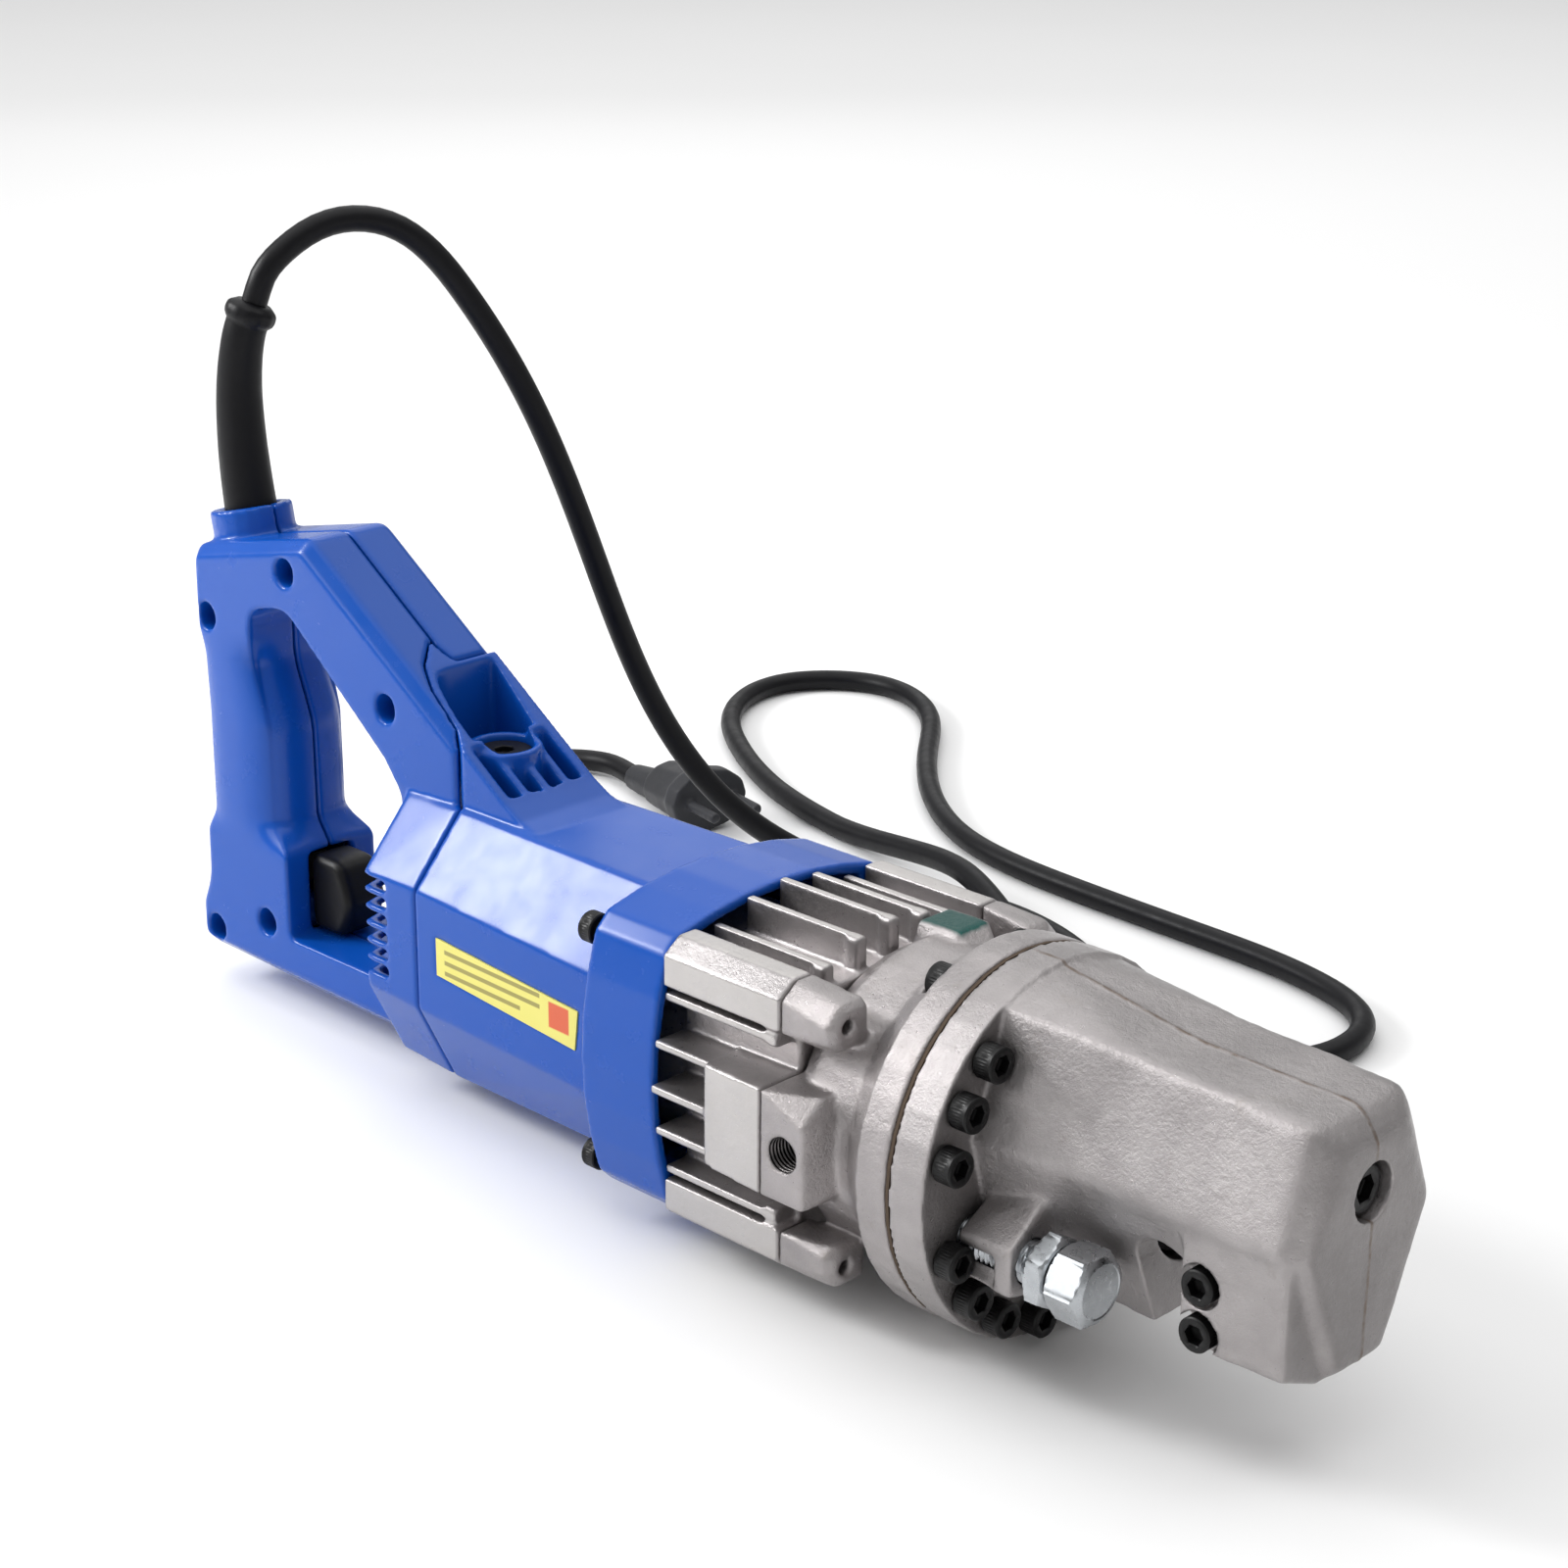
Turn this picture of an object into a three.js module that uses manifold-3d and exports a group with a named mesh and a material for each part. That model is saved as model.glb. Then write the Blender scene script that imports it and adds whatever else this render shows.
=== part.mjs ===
// Handheld electro-hydraulic rebar cutter with a D-handle, a finned pump case and a C-shaped cutter head.
// Millimetres, +Z up, +X from the handle to the cutter head. Pieces are drawn in the tool's own frame,
// whose X axis is the ram's axis and whose x = 0 is the joint between cylinder and cutter head. The
// exported group then moves them, so that the origin is the middle of the underside.
import * as THREE from "three";
import { ConvexGeometry } from "three/addons/geometries/ConvexGeometry.js";
import { mergeVertices } from "three/addons/utils/BufferGeometryUtils.js";
import Module from "manifold-3d";

const wasm = await Module();
wasm.setup();

// ---------- Driving dimensions ----------
const CLEARANCE = 0.3; // between pieces that touch

const handleRear = -348;
const headTip = 110;
const flangeRadius = 53.5;
const padFace = 54; // half the tool's width, over the threaded side pads

const handleFront = -206.3; // where the handle shells meet the motor housing
const handleHalfWidth = 18.5;
const shellWall = 3;
const barTopStart = { x: -281, z: 112.5 }; // upper end of the slanted bar's top face
const barTopEnd = { x: -187, z: 49.3 }; // lower end, on the motor housing

const housingRear = -206;
const collarRear = -119.5;
const collarFront = -90;
const collarCorner = { y: 44.5, z: 42 };
const collarBulge = { y: 50.5, z: 47.5 };

const brushX = -208;
const brushCapRadius = 8.6;
const brushRing = { inner: 9.2, outer: 12, top: 59.5 };

const caseFront = -45.3; // joint between pump case and cylinder
const postY = 40.5; // through bolts, in the four corner posts
const postZ = 35;
const finThickness = 2.6;

const lugFront = -28;
const cylinderFlangeRear = -11.3;
const boreRadius = 23;
const rodRadius = 15;
const pistonStroke = 17;

const headFlangeFront = 12;
const screwCircle = 46.9;
const screwAnglesFront = [41, 58.5, 76, 110.5, 130, 148.5, 169];
const screwAngleRear = 20;
const mouth = { rear: 57.5, front: 75, top: 2 };
const jawBottom = -28;

const stopper = { y: -33, z: -14, radius: 6, flats: 18.5, nutRear: 34.3, nutFront: 42.3 };
stopper.headFront = stopper.nutFront + 12;

const pinionTeeth = 9;
const gearTeeth = 27;
const gearModule = 1;
const camZ = (-gearModule * (pinionTeeth + gearTeeth)) / 2;
const camThrow = 2.5;

const cordDiameter = 8.5;

// ---------- Geometry helpers ----------
const V = (x, y, z) => new THREE.Vector3(x, y, z);
const DEG = Math.PI / 180;

function solid(geometry, matrix) {
  const g = geometry.clone();
  g.deleteAttribute("normal");
  g.deleteAttribute("uv");
  if (matrix) g.applyMatrix4(matrix);
  const merged = mergeVertices(g.index ? g.toNonIndexed() : g, 1e-3);
  return new wasm.Manifold(
    new wasm.Mesh({
      numProp: 3,
      vertProperties: new Float32Array(merged.attributes.position.array),
      triVerts: new Uint32Array(merged.index.array),
    }),
  );
}

const union = (list) => list.reduce((a, b) => a.add(b));
const cutAll = (body, tools) => tools.reduce((a, b) => a.subtract(b), body);

function box(x0, x1, y0, y1, z0, z1) {
  const g = new THREE.BoxGeometry(x1 - x0, y1 - y0, z1 - z0);
  g.translate((x0 + x1) / 2, (y0 + y1) / 2, (z0 + z1) / 2);
  return solid(g);
}

// A cylinder or cone between two points.
function rod(from, to, radius, sides = 16, endRadius = radius) {
  const axis = to.clone().sub(from);
  const g = new THREE.CylinderGeometry(endRadius, radius, axis.length(), sides);
  const turn = new THREE.Quaternion().setFromUnitVectors(V(0, 1, 0), axis.clone().normalize());
  const middle = from.clone().add(to).multiplyScalar(0.5);
  return solid(g, new THREE.Matrix4().compose(middle, turn, V(1, 1, 1)));
}

const rodX = (x0, x1, radius, y = 0, z = 0, sides = 16) => rod(V(x0, y, z), V(x1, y, z), radius, sides);
const rodY = (y0, y1, radius, x, z, sides = 10) => rod(V(x, y0, z), V(x, y1, z), radius, sides);
const rodZ = (z0, z1, radius, x, y, sides = 16) => rod(V(x, y, z0), V(x, y, z1), radius, sides);

// A ring or stepped round piece about the line through (y, z) along X. The profile is [x, radius] pairs.
function turned(profile, y = 0, z = 0, sides = 24) {
  const points = profile.map(([x, r]) => new THREE.Vector2(r, x));
  if (profile[0][1] > 0) points.push(points[0].clone());
  const made = solid(new THREE.LatheGeometry(points, sides));
  const faceOut = made.volume() < 0 ? solid(new THREE.LatheGeometry(points.reverse(), sides)) : made;
  return faceOut.transform(new THREE.Matrix4().makeRotationZ(-Math.PI / 2).elements).translate([0, y, z]);
}

function shapeOf(points) {
  const shape = new THREE.Shape(points.map(([a, b]) => new THREE.Vector2(a, b)));
  return shape;
}

// Prisms: an outline of [y, z] along X, of [x, z] along Y, or of [x, y] along Z.
function prismX(outline, x0, x1) {
  const g = new THREE.ExtrudeGeometry(shapeOf(outline), { depth: x1 - x0, bevelEnabled: false });
  const m = new THREE.Matrix4().makeBasis(V(0, 1, 0), V(0, 0, 1), V(1, 0, 0)).setPosition(x0, 0, 0);
  return solid(g, m);
}

function prismY(outline, y0, y1) {
  const g = new THREE.ExtrudeGeometry(shapeOf(outline), { depth: y1 - y0, bevelEnabled: false });
  const m = new THREE.Matrix4().makeBasis(V(1, 0, 0), V(0, 0, 1), V(0, -1, 0)).setPosition(0, y1, 0);
  return solid(g, m);
}

function prismZ(outline, z0, z1) {
  const g = new THREE.ExtrudeGeometry(shapeOf(outline), { depth: z1 - z0, bevelEnabled: false });
  return solid(g, new THREE.Matrix4().makeTranslation(0, 0, z0));
}

// A convex body through cross-sections, each an x and an outline of [y, z].
function skin(sections) {
  const points = sections.flatMap(([x, outline]) => outline.map(([y, z]) => V(x, y, z)));
  return solid(new ConvexGeometry(points));
}

// The same, hollow between the sections wherever the outline narrows.
function chain(sections) {
  return union(sections.slice(1).map((section, i) => skin([sections[i], section])));
}

// The same outline on both sides of the XZ plane, from the points with y >= 0, top to bottom.
const bothSides = (half) => [...half, ...half.map(([y, z]) => [-y, z]).reverse()];

const mirrorY = (made) => made.mirror([0, 1, 0]);

// An outline with rounded corners: points are [a, b, radius].
function rounded(points, steps = 3) {
  const out = [];
  points.forEach(([a, b, r], i) => {
    const here = new THREE.Vector2(a, b);
    if (!r) {
      out.push([a, b]);
      return;
    }
    const before = points.at(i - 1);
    const after = points[(i + 1) % points.length];
    const u = new THREE.Vector2(before[0], before[1]).sub(here).normalize();
    const w = new THREE.Vector2(after[0], after[1]).sub(here).normalize();
    const half = Math.acos(THREE.MathUtils.clamp(u.dot(w), -1, 1)) / 2;
    const reach = r / Math.tan(half);
    const start = here.clone().addScaledVector(u, reach);
    const end = here.clone().addScaledVector(w, reach);
    const curve = new THREE.QuadraticBezierCurve(start, here, end);
    curve.getPoints(steps).forEach((p) => out.push([p.x, p.y]));
  });
  return out;
}

// An outline moved inwards by a distance, side by side; the outline runs anticlockwise.
function inset(points, distance) {
  return points.map(([a, b, r], i) => {
    const before = points.at(i - 1);
    const after = points[(i + 1) % points.length];
    const e1 = new THREE.Vector2(a - before[0], b - before[1]).normalize();
    const e2 = new THREE.Vector2(after[0] - a, after[1] - b).normalize();
    const n1 = new THREE.Vector2(-e1.y, e1.x);
    const n2 = new THREE.Vector2(-e2.y, e2.x);
    const k = distance / (1 + n1.dot(n2));
    return [a + (n1.x + n2.x) * k, b + (n1.y + n2.y) * k, Math.max((r || 0) - distance, 0)];
  });
}

// An XZ outline along Y between -half and +half, with its long edges chamfered.
function bevelledY(outline, half, bevel) {
  const g = new THREE.ExtrudeGeometry(shapeOf(outline), {
    depth: 2 * (half - bevel),
    bevelEnabled: true,
    bevelThickness: bevel,
    bevelSize: bevel,
    bevelOffset: -bevel,
    bevelSegments: 1,
  });
  const m = new THREE.Matrix4().makeBasis(V(1, 0, 0), V(0, 0, 1), V(0, -1, 0));
  return solid(g, m.setPosition(0, half - bevel, 0));
}

const materials = {
  shell: { color: 0x1f4fc0, roughness: 0.38, metalness: 0 },
  cast: { color: 0x9b9690, roughness: 0.5, metalness: 0.75 },
  steel: { color: 0xb9bcc0, roughness: 0.3, metalness: 1 },
  black: { color: 0x15161a, roughness: 0.45, metalness: 0.6 },
  rubber: { color: 0x141517, roughness: 0.6, metalness: 0 },
  zinc: { color: 0xd2d6da, roughness: 0.25, metalness: 1 },
  copper: { color: 0xb06a35, roughness: 0.4, metalness: 0.9 },
  carbon: { color: 0x2a2a2c, roughness: 0.7, metalness: 0.1 },
  gasket: { color: 0x7a5f42, roughness: 0.9, metalness: 0 },
  label: { color: 0xe8d648, roughness: 0.4, metalness: 0 },
  plug: { color: 0x55565a, roughness: 0.6, metalness: 0 },
};

const tool = new THREE.Group();

function piece(name, made, material) {
  const mesh = made.getMesh();
  const g = new THREE.BufferGeometry();
  g.setAttribute("position", new THREE.BufferAttribute(new Float32Array(mesh.vertProperties), 3));
  g.setIndex(new THREE.BufferAttribute(new Uint32Array(mesh.triVerts), 1));
  g.computeVertexNormals();
  const node = new THREE.Mesh(g, new THREE.MeshStandardMaterial(materials[material]));
  node.name = name;
  tool.add(node);
}

// ---------- Handle: two shells that meet on the XZ plane ----------
const handleTopRear = { x: -342, z: 99.5 };

function handleOutline() {
  return [
    [handleRear, -41, 6],
    [handleFront, -43.5, 0],
    [handleFront, barTopHeight(handleFront), 0],
    [barTopStart.x, barTopStart.z, 6],
    [handleTopRear.x, handleTopRear.z, 6],
    [-343.5, -15, 20],
    [handleRear, -25, 5],
  ];
}

function barTopHeight(x) {
  const t = (x - barTopStart.x) / (barTopEnd.x - barTopStart.x);
  return barTopStart.z + t * (barTopEnd.z - barTopStart.z);
}

function windowOutline() {
  return [
    [-297, -26, 3],
    [-236, -26, 8],
    [-236, 40, 8],
    [-244, 50, 8],
    [-292, 88, 12],
    [-311, 84, 8],
    [-311, 64, 20],
    [-303, 44, 20],
    [-302.5, 11, 5],
    [-297, 3.5, 2],
  ];
}

const motorSection = {
  rear: bothSides([
    [20, 43.5],
    [38.5, 22],
    [38.5, -16],
    [25, -43],
  ]),
  front: bothSides([
    [22, 43.5],
    [41.5, 19.5],
    [41.5, -17],
    [25, -43.5],
  ]),
};

const shrink = (outline, d) => outline.map(([y, z]) => [y - Math.sign(y) * d, z - Math.sign(z) * d]);

function capBody(d) {
  const end = shrink(motorSection.rear, d);
  const rim = end.map(([y, z]) => [y * 0.98, z * 0.97]);
  const back = end.map(([y, z]) => [y * 0.55, z * 0.8]);
  return skin([
    [handleFront + (d ? 1 : 0), end],
    [-231.5 + d, rim],
    [-237 + d, back],
  ]);
}

// The part of the top that belongs to the motor housing behind the joint, seen from above.
const pocketLip = [
  [-150, -18.3],
  [-206, -18.3],
  [-213, -14.2],
  [-226, -12.6],
  [-234, -9],
  [-241, -1],
  [-233, 2],
  [-233, 18.3],
  [-150, 18.3],
];

// The motor housing's tongue, which reaches back into the slanted bar and holds the pocket.
function tongue(grow) {
  const low = (x) => barTopHeight(x) - 6;
  const side = [
    [-233 - grow, 34 - grow],
    [-160, 34 - grow],
    [-160, 43.4],
    [-172, 43.6],
    [-180, 45.6],
    [barTopEnd.x, barTopEnd.z],
    [-245, barTopHeight(-245)],
    [-245, low(-245) - grow],
    [-233 - grow, low(-233) - grow],
  ];
  if (grow) side.splice(2, 5, [-160, 130], [-245, 130]);
  const above = inset(pocketLip, grow).map(([x, y]) => [x, y]);
  return prismY(side, -19, 19).intersect(prismZ(above, 20, 125));
}

const handleScrews = [
  [-291, 100],
  [-334, 77],
  [-242.5, 66.5],
  [-309.5, -23.5],
  [-338, -33.5],
  [-241, -35],
];
const handleScrewHead = { radius: 4, front: -11.2, seat: -8.6 };

const cordExit = { x: -330, z: 103.5 };
const guardTilt = Math.atan2(barTopStart.z - handleTopRear.z, barTopStart.x - handleTopRear.x);
const cordAxis = V(-Math.sin(guardTilt), 0, Math.cos(guardTilt));
const onCordAxis = (d) => V(cordExit.x, 0, cordExit.z).addScaledVector(cordAxis, d);

function handleShells() {
  const outline = handleOutline();
  const outer = union([
    bevelledY(rounded(outline), handleHalfWidth, 4),
    capBody(0),
    rod(onCordAxis(-6), onCordAxis(8), 13.5, 20),
  ]);
  const hollow = union([
    prismY(rounded(inset(outline, shellWall)), -handleHalfWidth + shellWall, handleHalfWidth - shellWall),
    capBody(shellWall),
    box(handleFront - 6, handleFront + 2, -15.5, 15.5, 20, barTopHeight(handleFront) - 2 * shellWall),
  ]);
  const windowWall = prismY(rounded(inset(windowOutline(), -shellWall)), -60, 60);
  const wallBack = windowWall.intersect(hollow.intersect(box(-345, -236.5, -16, 16, -60, 120)));
  const inside = hollow.subtract(wallBack);
  const bosses = handleScrews.map(([x, z]) => rodY(-17, 17, 6.4, x, z, 10));
  const neck = rod(onCordAxis(-12), onCordAxis(7), 12, 16);

  let body = outer.subtract(inside.subtract(union([...bosses, neck]).intersect(outer)));
  body = cutAll(body, [
    prismY(rounded(windowOutline()), -60, 60),
    box(-306, -290, -8.6, 8.6, -25.5, 1.6),
    rod(onCordAxis(-14), onCordAxis(10), 9, 16),
    tongue(CLEARANCE),
    rodZ(-50, -20, brushRing.outer + 0.4, brushX, 0),
  ]);
  for (const [x, z] of handleScrews) {
    const seat = handleScrewHead.seat + CLEARANCE;
    body = cutAll(body, [rodY(-40, seat, 4.7, x, z), rodY(-20, 12, 2.2, x, z, 8)]);
  }
  for (let i = 0; i < 6; i++) {
    const z = 18.5 - i * 5.6;
    const slot = box(-240, -221, 25, 50, z - 1.7, z + 1.7);
    body = cutAll(body, [slot, mirrorY(slot)]);
  }
  const left = body.intersect(box(-400, 0, -60, -CLEARANCE / 2, -100, 200));
  const right = body.intersect(box(-400, 0, CLEARANCE / 2, 60, -100, 200));
  return { left, right };
}

const shells = handleShells();
piece("handle_shell_left", shells.left, "shell");
piece("handle_shell_right", shells.right, "shell");

handleScrews.forEach(([x, z], i) => {
  const { radius, front, seat } = handleScrewHead;
  const head = rodY(front, seat, radius, x, z);
  const shank = rodY(seat - 0.5, 9, 1.8, x, z, 6);
  const recess = rodY(front - 1, front + 1.4, 1.4, x, z, 4);
  piece("handle_screw_" + (i + 1), head.add(shank).subtract(recess), "black");
});

// ---------- Motor housing with its front collar ----------
function collarOutline(d) {
  const corner = [
    [collarCorner.y - d, collarCorner.z - d - 5],
    [collarCorner.y - d - 5, collarCorner.z - d],
  ];
  const side = 6;
  const points = [];
  for (let i = 1; i < side; i++) {
    const t = i / side;
    const z = THREE.MathUtils.lerp(-corner[0][1], corner[0][1], t);
    const bulge = (collarBulge.y - collarCorner.y) * (1 - (2 * t - 1) ** 2);
    points.push([collarCorner.y - d + bulge, z]);
  }
  points.push(corner[0], corner[1]);
  for (let i = 1; i < side; i++) {
    const t = i / side;
    const y = THREE.MathUtils.lerp(corner[1][0], -corner[1][0], t);
    const bulge = (collarBulge.z - collarCorner.z) * (1 - (2 * t - 1) ** 2);
    points.push([y, collarCorner.z - d + bulge]);
  }
  points.push([-corner[1][0], corner[1][1]], [-corner[0][0], corner[0][1]]);
  return [...points, ...points.map(([y, z]) => [-y, -z])];
}

function motorHousing() {
  const outer = union([
    skin([
      [housingRear, motorSection.rear],
      [collarRear + 1, motorSection.front],
    ]),
    tongue(0),
    prismX(collarOutline(0), collarRear, collarFront),
    turned([
      [-224, 0],
      [-224, 28],
      [-215, 31],
      [housingRear + 1, 31],
      [housingRear + 1, 0],
    ]),
    rodZ(-42.3, 42, brushRing.outer, brushX, 0),
  ]);
  const inside = union([
    skin([
      [housingRear + 3, shrink(motorSection.rear, 3)],
      [collarRear, shrink(motorSection.front, 3)],
    ]),
    prismX(collarOutline(3), collarRear + 3, collarFront + 1),
    skin([
      [collarRear - 1, shrink(motorSection.front, 3)],
      [collarRear + 4, shrink(motorSection.front, 3)],
    ]),
    turned([
      [-221, 0],
      [-221, 26],
      [-214, 28],
      [housingRear + 4, 28],
      [housingRear + 4, 0],
    ]),
    rodX(-227, -215, 5.6),
  ]);
  const corners = [];
  for (const sy of [-1, 1]) {
    for (const sz of [-1, 1]) {
      const y = [sy * 33.5, sy * (collarCorner.y - 0.5)].sort((a, b) => a - b);
      const z = [sz * 30, sz * (collarCorner.z - 0.5)].sort((a, b) => a - b);
      corners.push(box(collarRear + 1, collarFront, ...y, ...z));
    }
  }
  let body = outer.subtract(inside).add(union(corners).intersect(prismX(collarOutline(0.2), -130, -80)));

  const slots = [-12, -4, 4, 12].map((y) => box(-206, -188.5, y - 2.5, y + 2.5, 36, 90));
  const pocket = prismZ(rounded([
    [-231, -8, 6],
    [-219, -11, 2],
    [brushX, -12, 0],
    [brushX, 12, 0],
    [-231, 15.5, 1],
  ]), 46, 120);
  body = cutAll(body, [...slots, pocket]);
  body = body.add(rodZ(40, brushRing.top, brushRing.outer, brushX, 0, 20));
  body = cutAll(body, [
    rodZ(51.2, 90, brushRing.inner, brushX, 0, 20),
    rodZ(-60, -33, brushRing.inner, brushX, 0, 20),
    rodZ(24, 60, 6.2, brushX, 0),
    rodZ(-60, -24, 6.2, brushX, 0),
  ]);
  for (const sy of [-1, 1]) {
    for (const sz of [-1, 1]) body = body.subtract(rodX(-130, -80, 3, sy * postY, sz * postZ, 8));
  }
  return body.subtract(labelPlate(CLEARANCE));
}
piece("motor_housing", motorHousing(), "shell");

// The rating plate follows the housing's flat side, which widens towards the collar.
function labelPlate(grow) {
  const g = grow;
  const outline = [
    [-33 - g, -4.5 - g],
    [31 + g, -8 - g],
    [32.5 + g, 4.5 + g],
    [-33 - g, 7.5 + g],
  ];
  const plate = prismY(outline, -0.35 - g, 0.35 + g);
  return plate.rotate([0, 0, -2]).translate([-163, -39.7, 2.5]);
}
piece("rating_label", labelPlate(0), "label");

function brushSet(name, capTop, side) {
  const cap = union([
    rodZ(capTop - 6, capTop, brushCapRadius, brushX, 0, 16),
    rodZ(capTop - 10, capTop - 5.5, 5.6, brushX, 0, 10),
  ]).subtract(rodZ(capTop - 2.2, capTop + 1, 3.2, brushX, 0, 6));
  const carbon = box(brushX - 3.5, brushX + 3.5, -4, 4, 14, capTop - 10 - CLEARANCE);
  const place = (made) => (side > 0 ? made : made.mirror([0, 0, 1]));
  piece("brush_cap_" + name, place(cap), "rubber");
  piece("brush_" + name, place(carbon), "carbon");
}
brushSet("top", 57.5, 1);
brushSet("bottom", 41.5, -1);

// Through bolts from behind the collar into the cylinder's lugs.
let housingScrew = 1;
for (const sy of [-1, 1]) {
  for (const sz of [-1, 1]) {
    const y = sy * postY;
    const z = sz * postZ;
    const head = rodX(collarRear - 6.3, collarRear - CLEARANCE, 4.6, y, z, 12);
    const socket = rodX(collarRear - 7, collarRear - 3.5, 2.4, y, z, 6);
    const shank = rodX(collarRear - 1, -36, 2.6, y, z, 8);
    piece("housing_screw_" + housingScrew++, head.subtract(socket).add(shank), "black");
  }
}

// ---------- Motor ----------
piece(
  "stator",
  turned([
    [-186, 33.5],
    [-138, 33.5],
    [-138, 22.5],
    [-186, 22.5],
  ]),
  "carbon",
);

function gearOutline(teeth, phase) {
  const pitch = (gearModule * teeth) / 2;
  const root = pitch - 1.15 * gearModule;
  const tip = pitch + 0.75 * gearModule;
  const step = (2 * Math.PI) / teeth;
  const points = [];
  for (let i = 0; i < teeth; i++) {
    const middle = phase + i * step;
    const halfRoot = 0.95 / pitch;
    const halfTip = 0.4 / pitch;
    for (const [angle, r] of [[-halfRoot, root], [-halfTip, tip], [halfTip, tip], [halfRoot, root]]) {
      points.push([r * Math.sin(middle + angle), r * Math.cos(middle + angle)]);
    }
  }
  return points.reverse();
}

const gearX = { rear: -103, front: -95 };

function armature() {
  const core = rodX(-184, -140, 21.5, 0, 0, 24);
  const windings = rodX(-192, -134, 17, 0, 0, 20);
  const commutator = rodX(-215.8, -196, 13.6, 0, 0, 24);
  const shaft = rodX(-222.5, gearX.rear - 1, 5);
  const pinion = prismX(gearOutline(pinionTeeth, Math.PI), gearX.rear, gearX.front);
  return union([core, windings, commutator, shaft, pinion, rodX(gearX.rear - 2, gearX.front - 1, 3.1)]);
}
piece("armature", armature(), "copper");

function coolingFan() {
  const hub = turned([
    [-131.5, 30],
    [-129.5, 30],
    [-129.5, 9],
    [-122.5, 9],
    [-122.5, 5.3],
    [-131.5, 5.3],
  ], 0, 0, 20);
  const blade = box(-129.6, -123.5, -0.9, 0.9, 8, 29);
  let made = hub;
  for (let i = 0; i < 8; i++) made = made.add(blade.rotate([i * 45, 0, 0]));
  return made;
}
piece("cooling_fan", coolingFan(), "black");

const bearing = (x0, x1, inner, outer) => turned([[x0, outer], [x1, outer], [x1, inner], [x0, inner]]);
piece("rear_bearing", bearing(-220.6, -216.4, 5.3, 11), "steel");
piece("front_bearing", bearing(-115, -109.2, 5.3, 12.7), "steel");

// ---------- Pump case ----------
const finSpots = [-26, -13, 0, 13, 26];
const finReach = { side: [46, 50, 51.5, 50, 46], top: [42, 46.5, 48.5, 46.5, 42] };
const post = [
  [34, 29],
  [46.5, 29],
  [46.5, 38.5],
  [40.5, 43],
  [34, 43],
];
const coreHalf = { y: 38, z: 36.5 };
const bearingSeatRear = -115.4;

function pumpCase() {
  const core = prismX(rounded([
    [-coreHalf.y, -coreHalf.z, 6],
    [coreHalf.y, -coreHalf.z, 6],
    [coreHalf.y, coreHalf.z, 6],
    [-coreHalf.y, coreHalf.z, 6],
  ], 2), collarFront + CLEARANCE, caseFront);
  const spigot = rodX(bearingSeatRear, collarFront + 1, 36, 0, 0, 24);
  const parts = [core, spigot];
  const rear = collarFront + CLEARANCE;
  finSpots.forEach((at, i) => {
    const t = finThickness / 2;
    const side = box(rear, -47, 30, finReach.side[i], at - t, at + t);
    const nub = box(-51, -47, 30, finReach.side[i] - 0.5, at - t - 1, at + t + 1);
    const sides = Math.abs(at) > 20 ? side.add(nub) : side;
    parts.push(sides, mirrorY(sides));
    const top = box(rear, -46.5, at - t, at + t, 30, finReach.top[i]);
    const topNub = box(-51, -46.5, at - t - 1, at + t + 1, 30, finReach.top[i] - 0.5);
    parts.push(top.add(topNub), top.mirror([0, 0, 1]));
  });
  const pad = skin([
    [-68, [[30, -15], [52.5, -15], [52.5, 15], [30, 15]]],
    [caseFront, [[30, -15.5], [padFace, -15.5], [padFace, 15.5], [30, 15.5]]],
  ]);
  parts.push(pad, mirrorY(pad));
  const corner = prismX(post, rear, caseFront);
  parts.push(corner, mirrorY(corner), corner.mirror([0, 0, 1]), mirrorY(corner).mirror([0, 0, 1]));
  let body = union(parts);
  body = cutAll(body, [
    turned([
      [bearingSeatRear - 1, 0],
      [bearingSeatRear - 1, 13],
      [-109, 13],
      [-109, 8],
      [-106, 8],
      [-106, 32.5],
      [-84, 32.5],
      [-84, 0],
    ]),
    rodX(-84.2, caseFront + 1, 13, 0, camZ, 20),
    rodZ(camZ, 40, 5.2, -74, 0, 12).intersect(box(-90, -60, -10, 10, -30, 28)),
  ]);
  for (const sy of [-1, 1]) {
    for (const sz of [-1, 1]) body = body.subtract(rodX(-95, -40, 3, sy * postY, sz * postZ, 8));
  }
  return body;
}
piece("pump_case", pumpCase(), "cast");

// ---------- Pump drive ----------
piece(
  "drive_gear",
  prismX(gearOutline(gearTeeth, Math.PI / gearTeeth), gearX.rear, gearX.front)
    .translate([0, 0, camZ])
    .subtract(rodX(-110, -90, 5.3, 0, camZ)),
  "steel",
);
piece(
  "cam_shaft",
  union([rodX(-104.5, -52, 5, 0, camZ), rodX(-80, -68, 8, 0, camZ + camThrow, 20)]),
  "steel",
);
piece("pump_plunger", rodZ(camZ + camThrow + 8 + CLEARANCE, 24, 4.8, -74, 0, 12), "steel");

// ---------- Cylinder ----------
function screwSpot(angle) {
  return [-screwCircle * Math.sin(angle * DEG), screwCircle * Math.cos(angle * DEG)];
}

const frontScrewSpots = [...screwAnglesFront, ...screwAnglesFront.map((a) => -a)].map(screwSpot);
const rearScrewSpots = [screwSpot(screwAngleRear), screwSpot(-screwAngleRear)];
const cylinderFront = -1;

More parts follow.
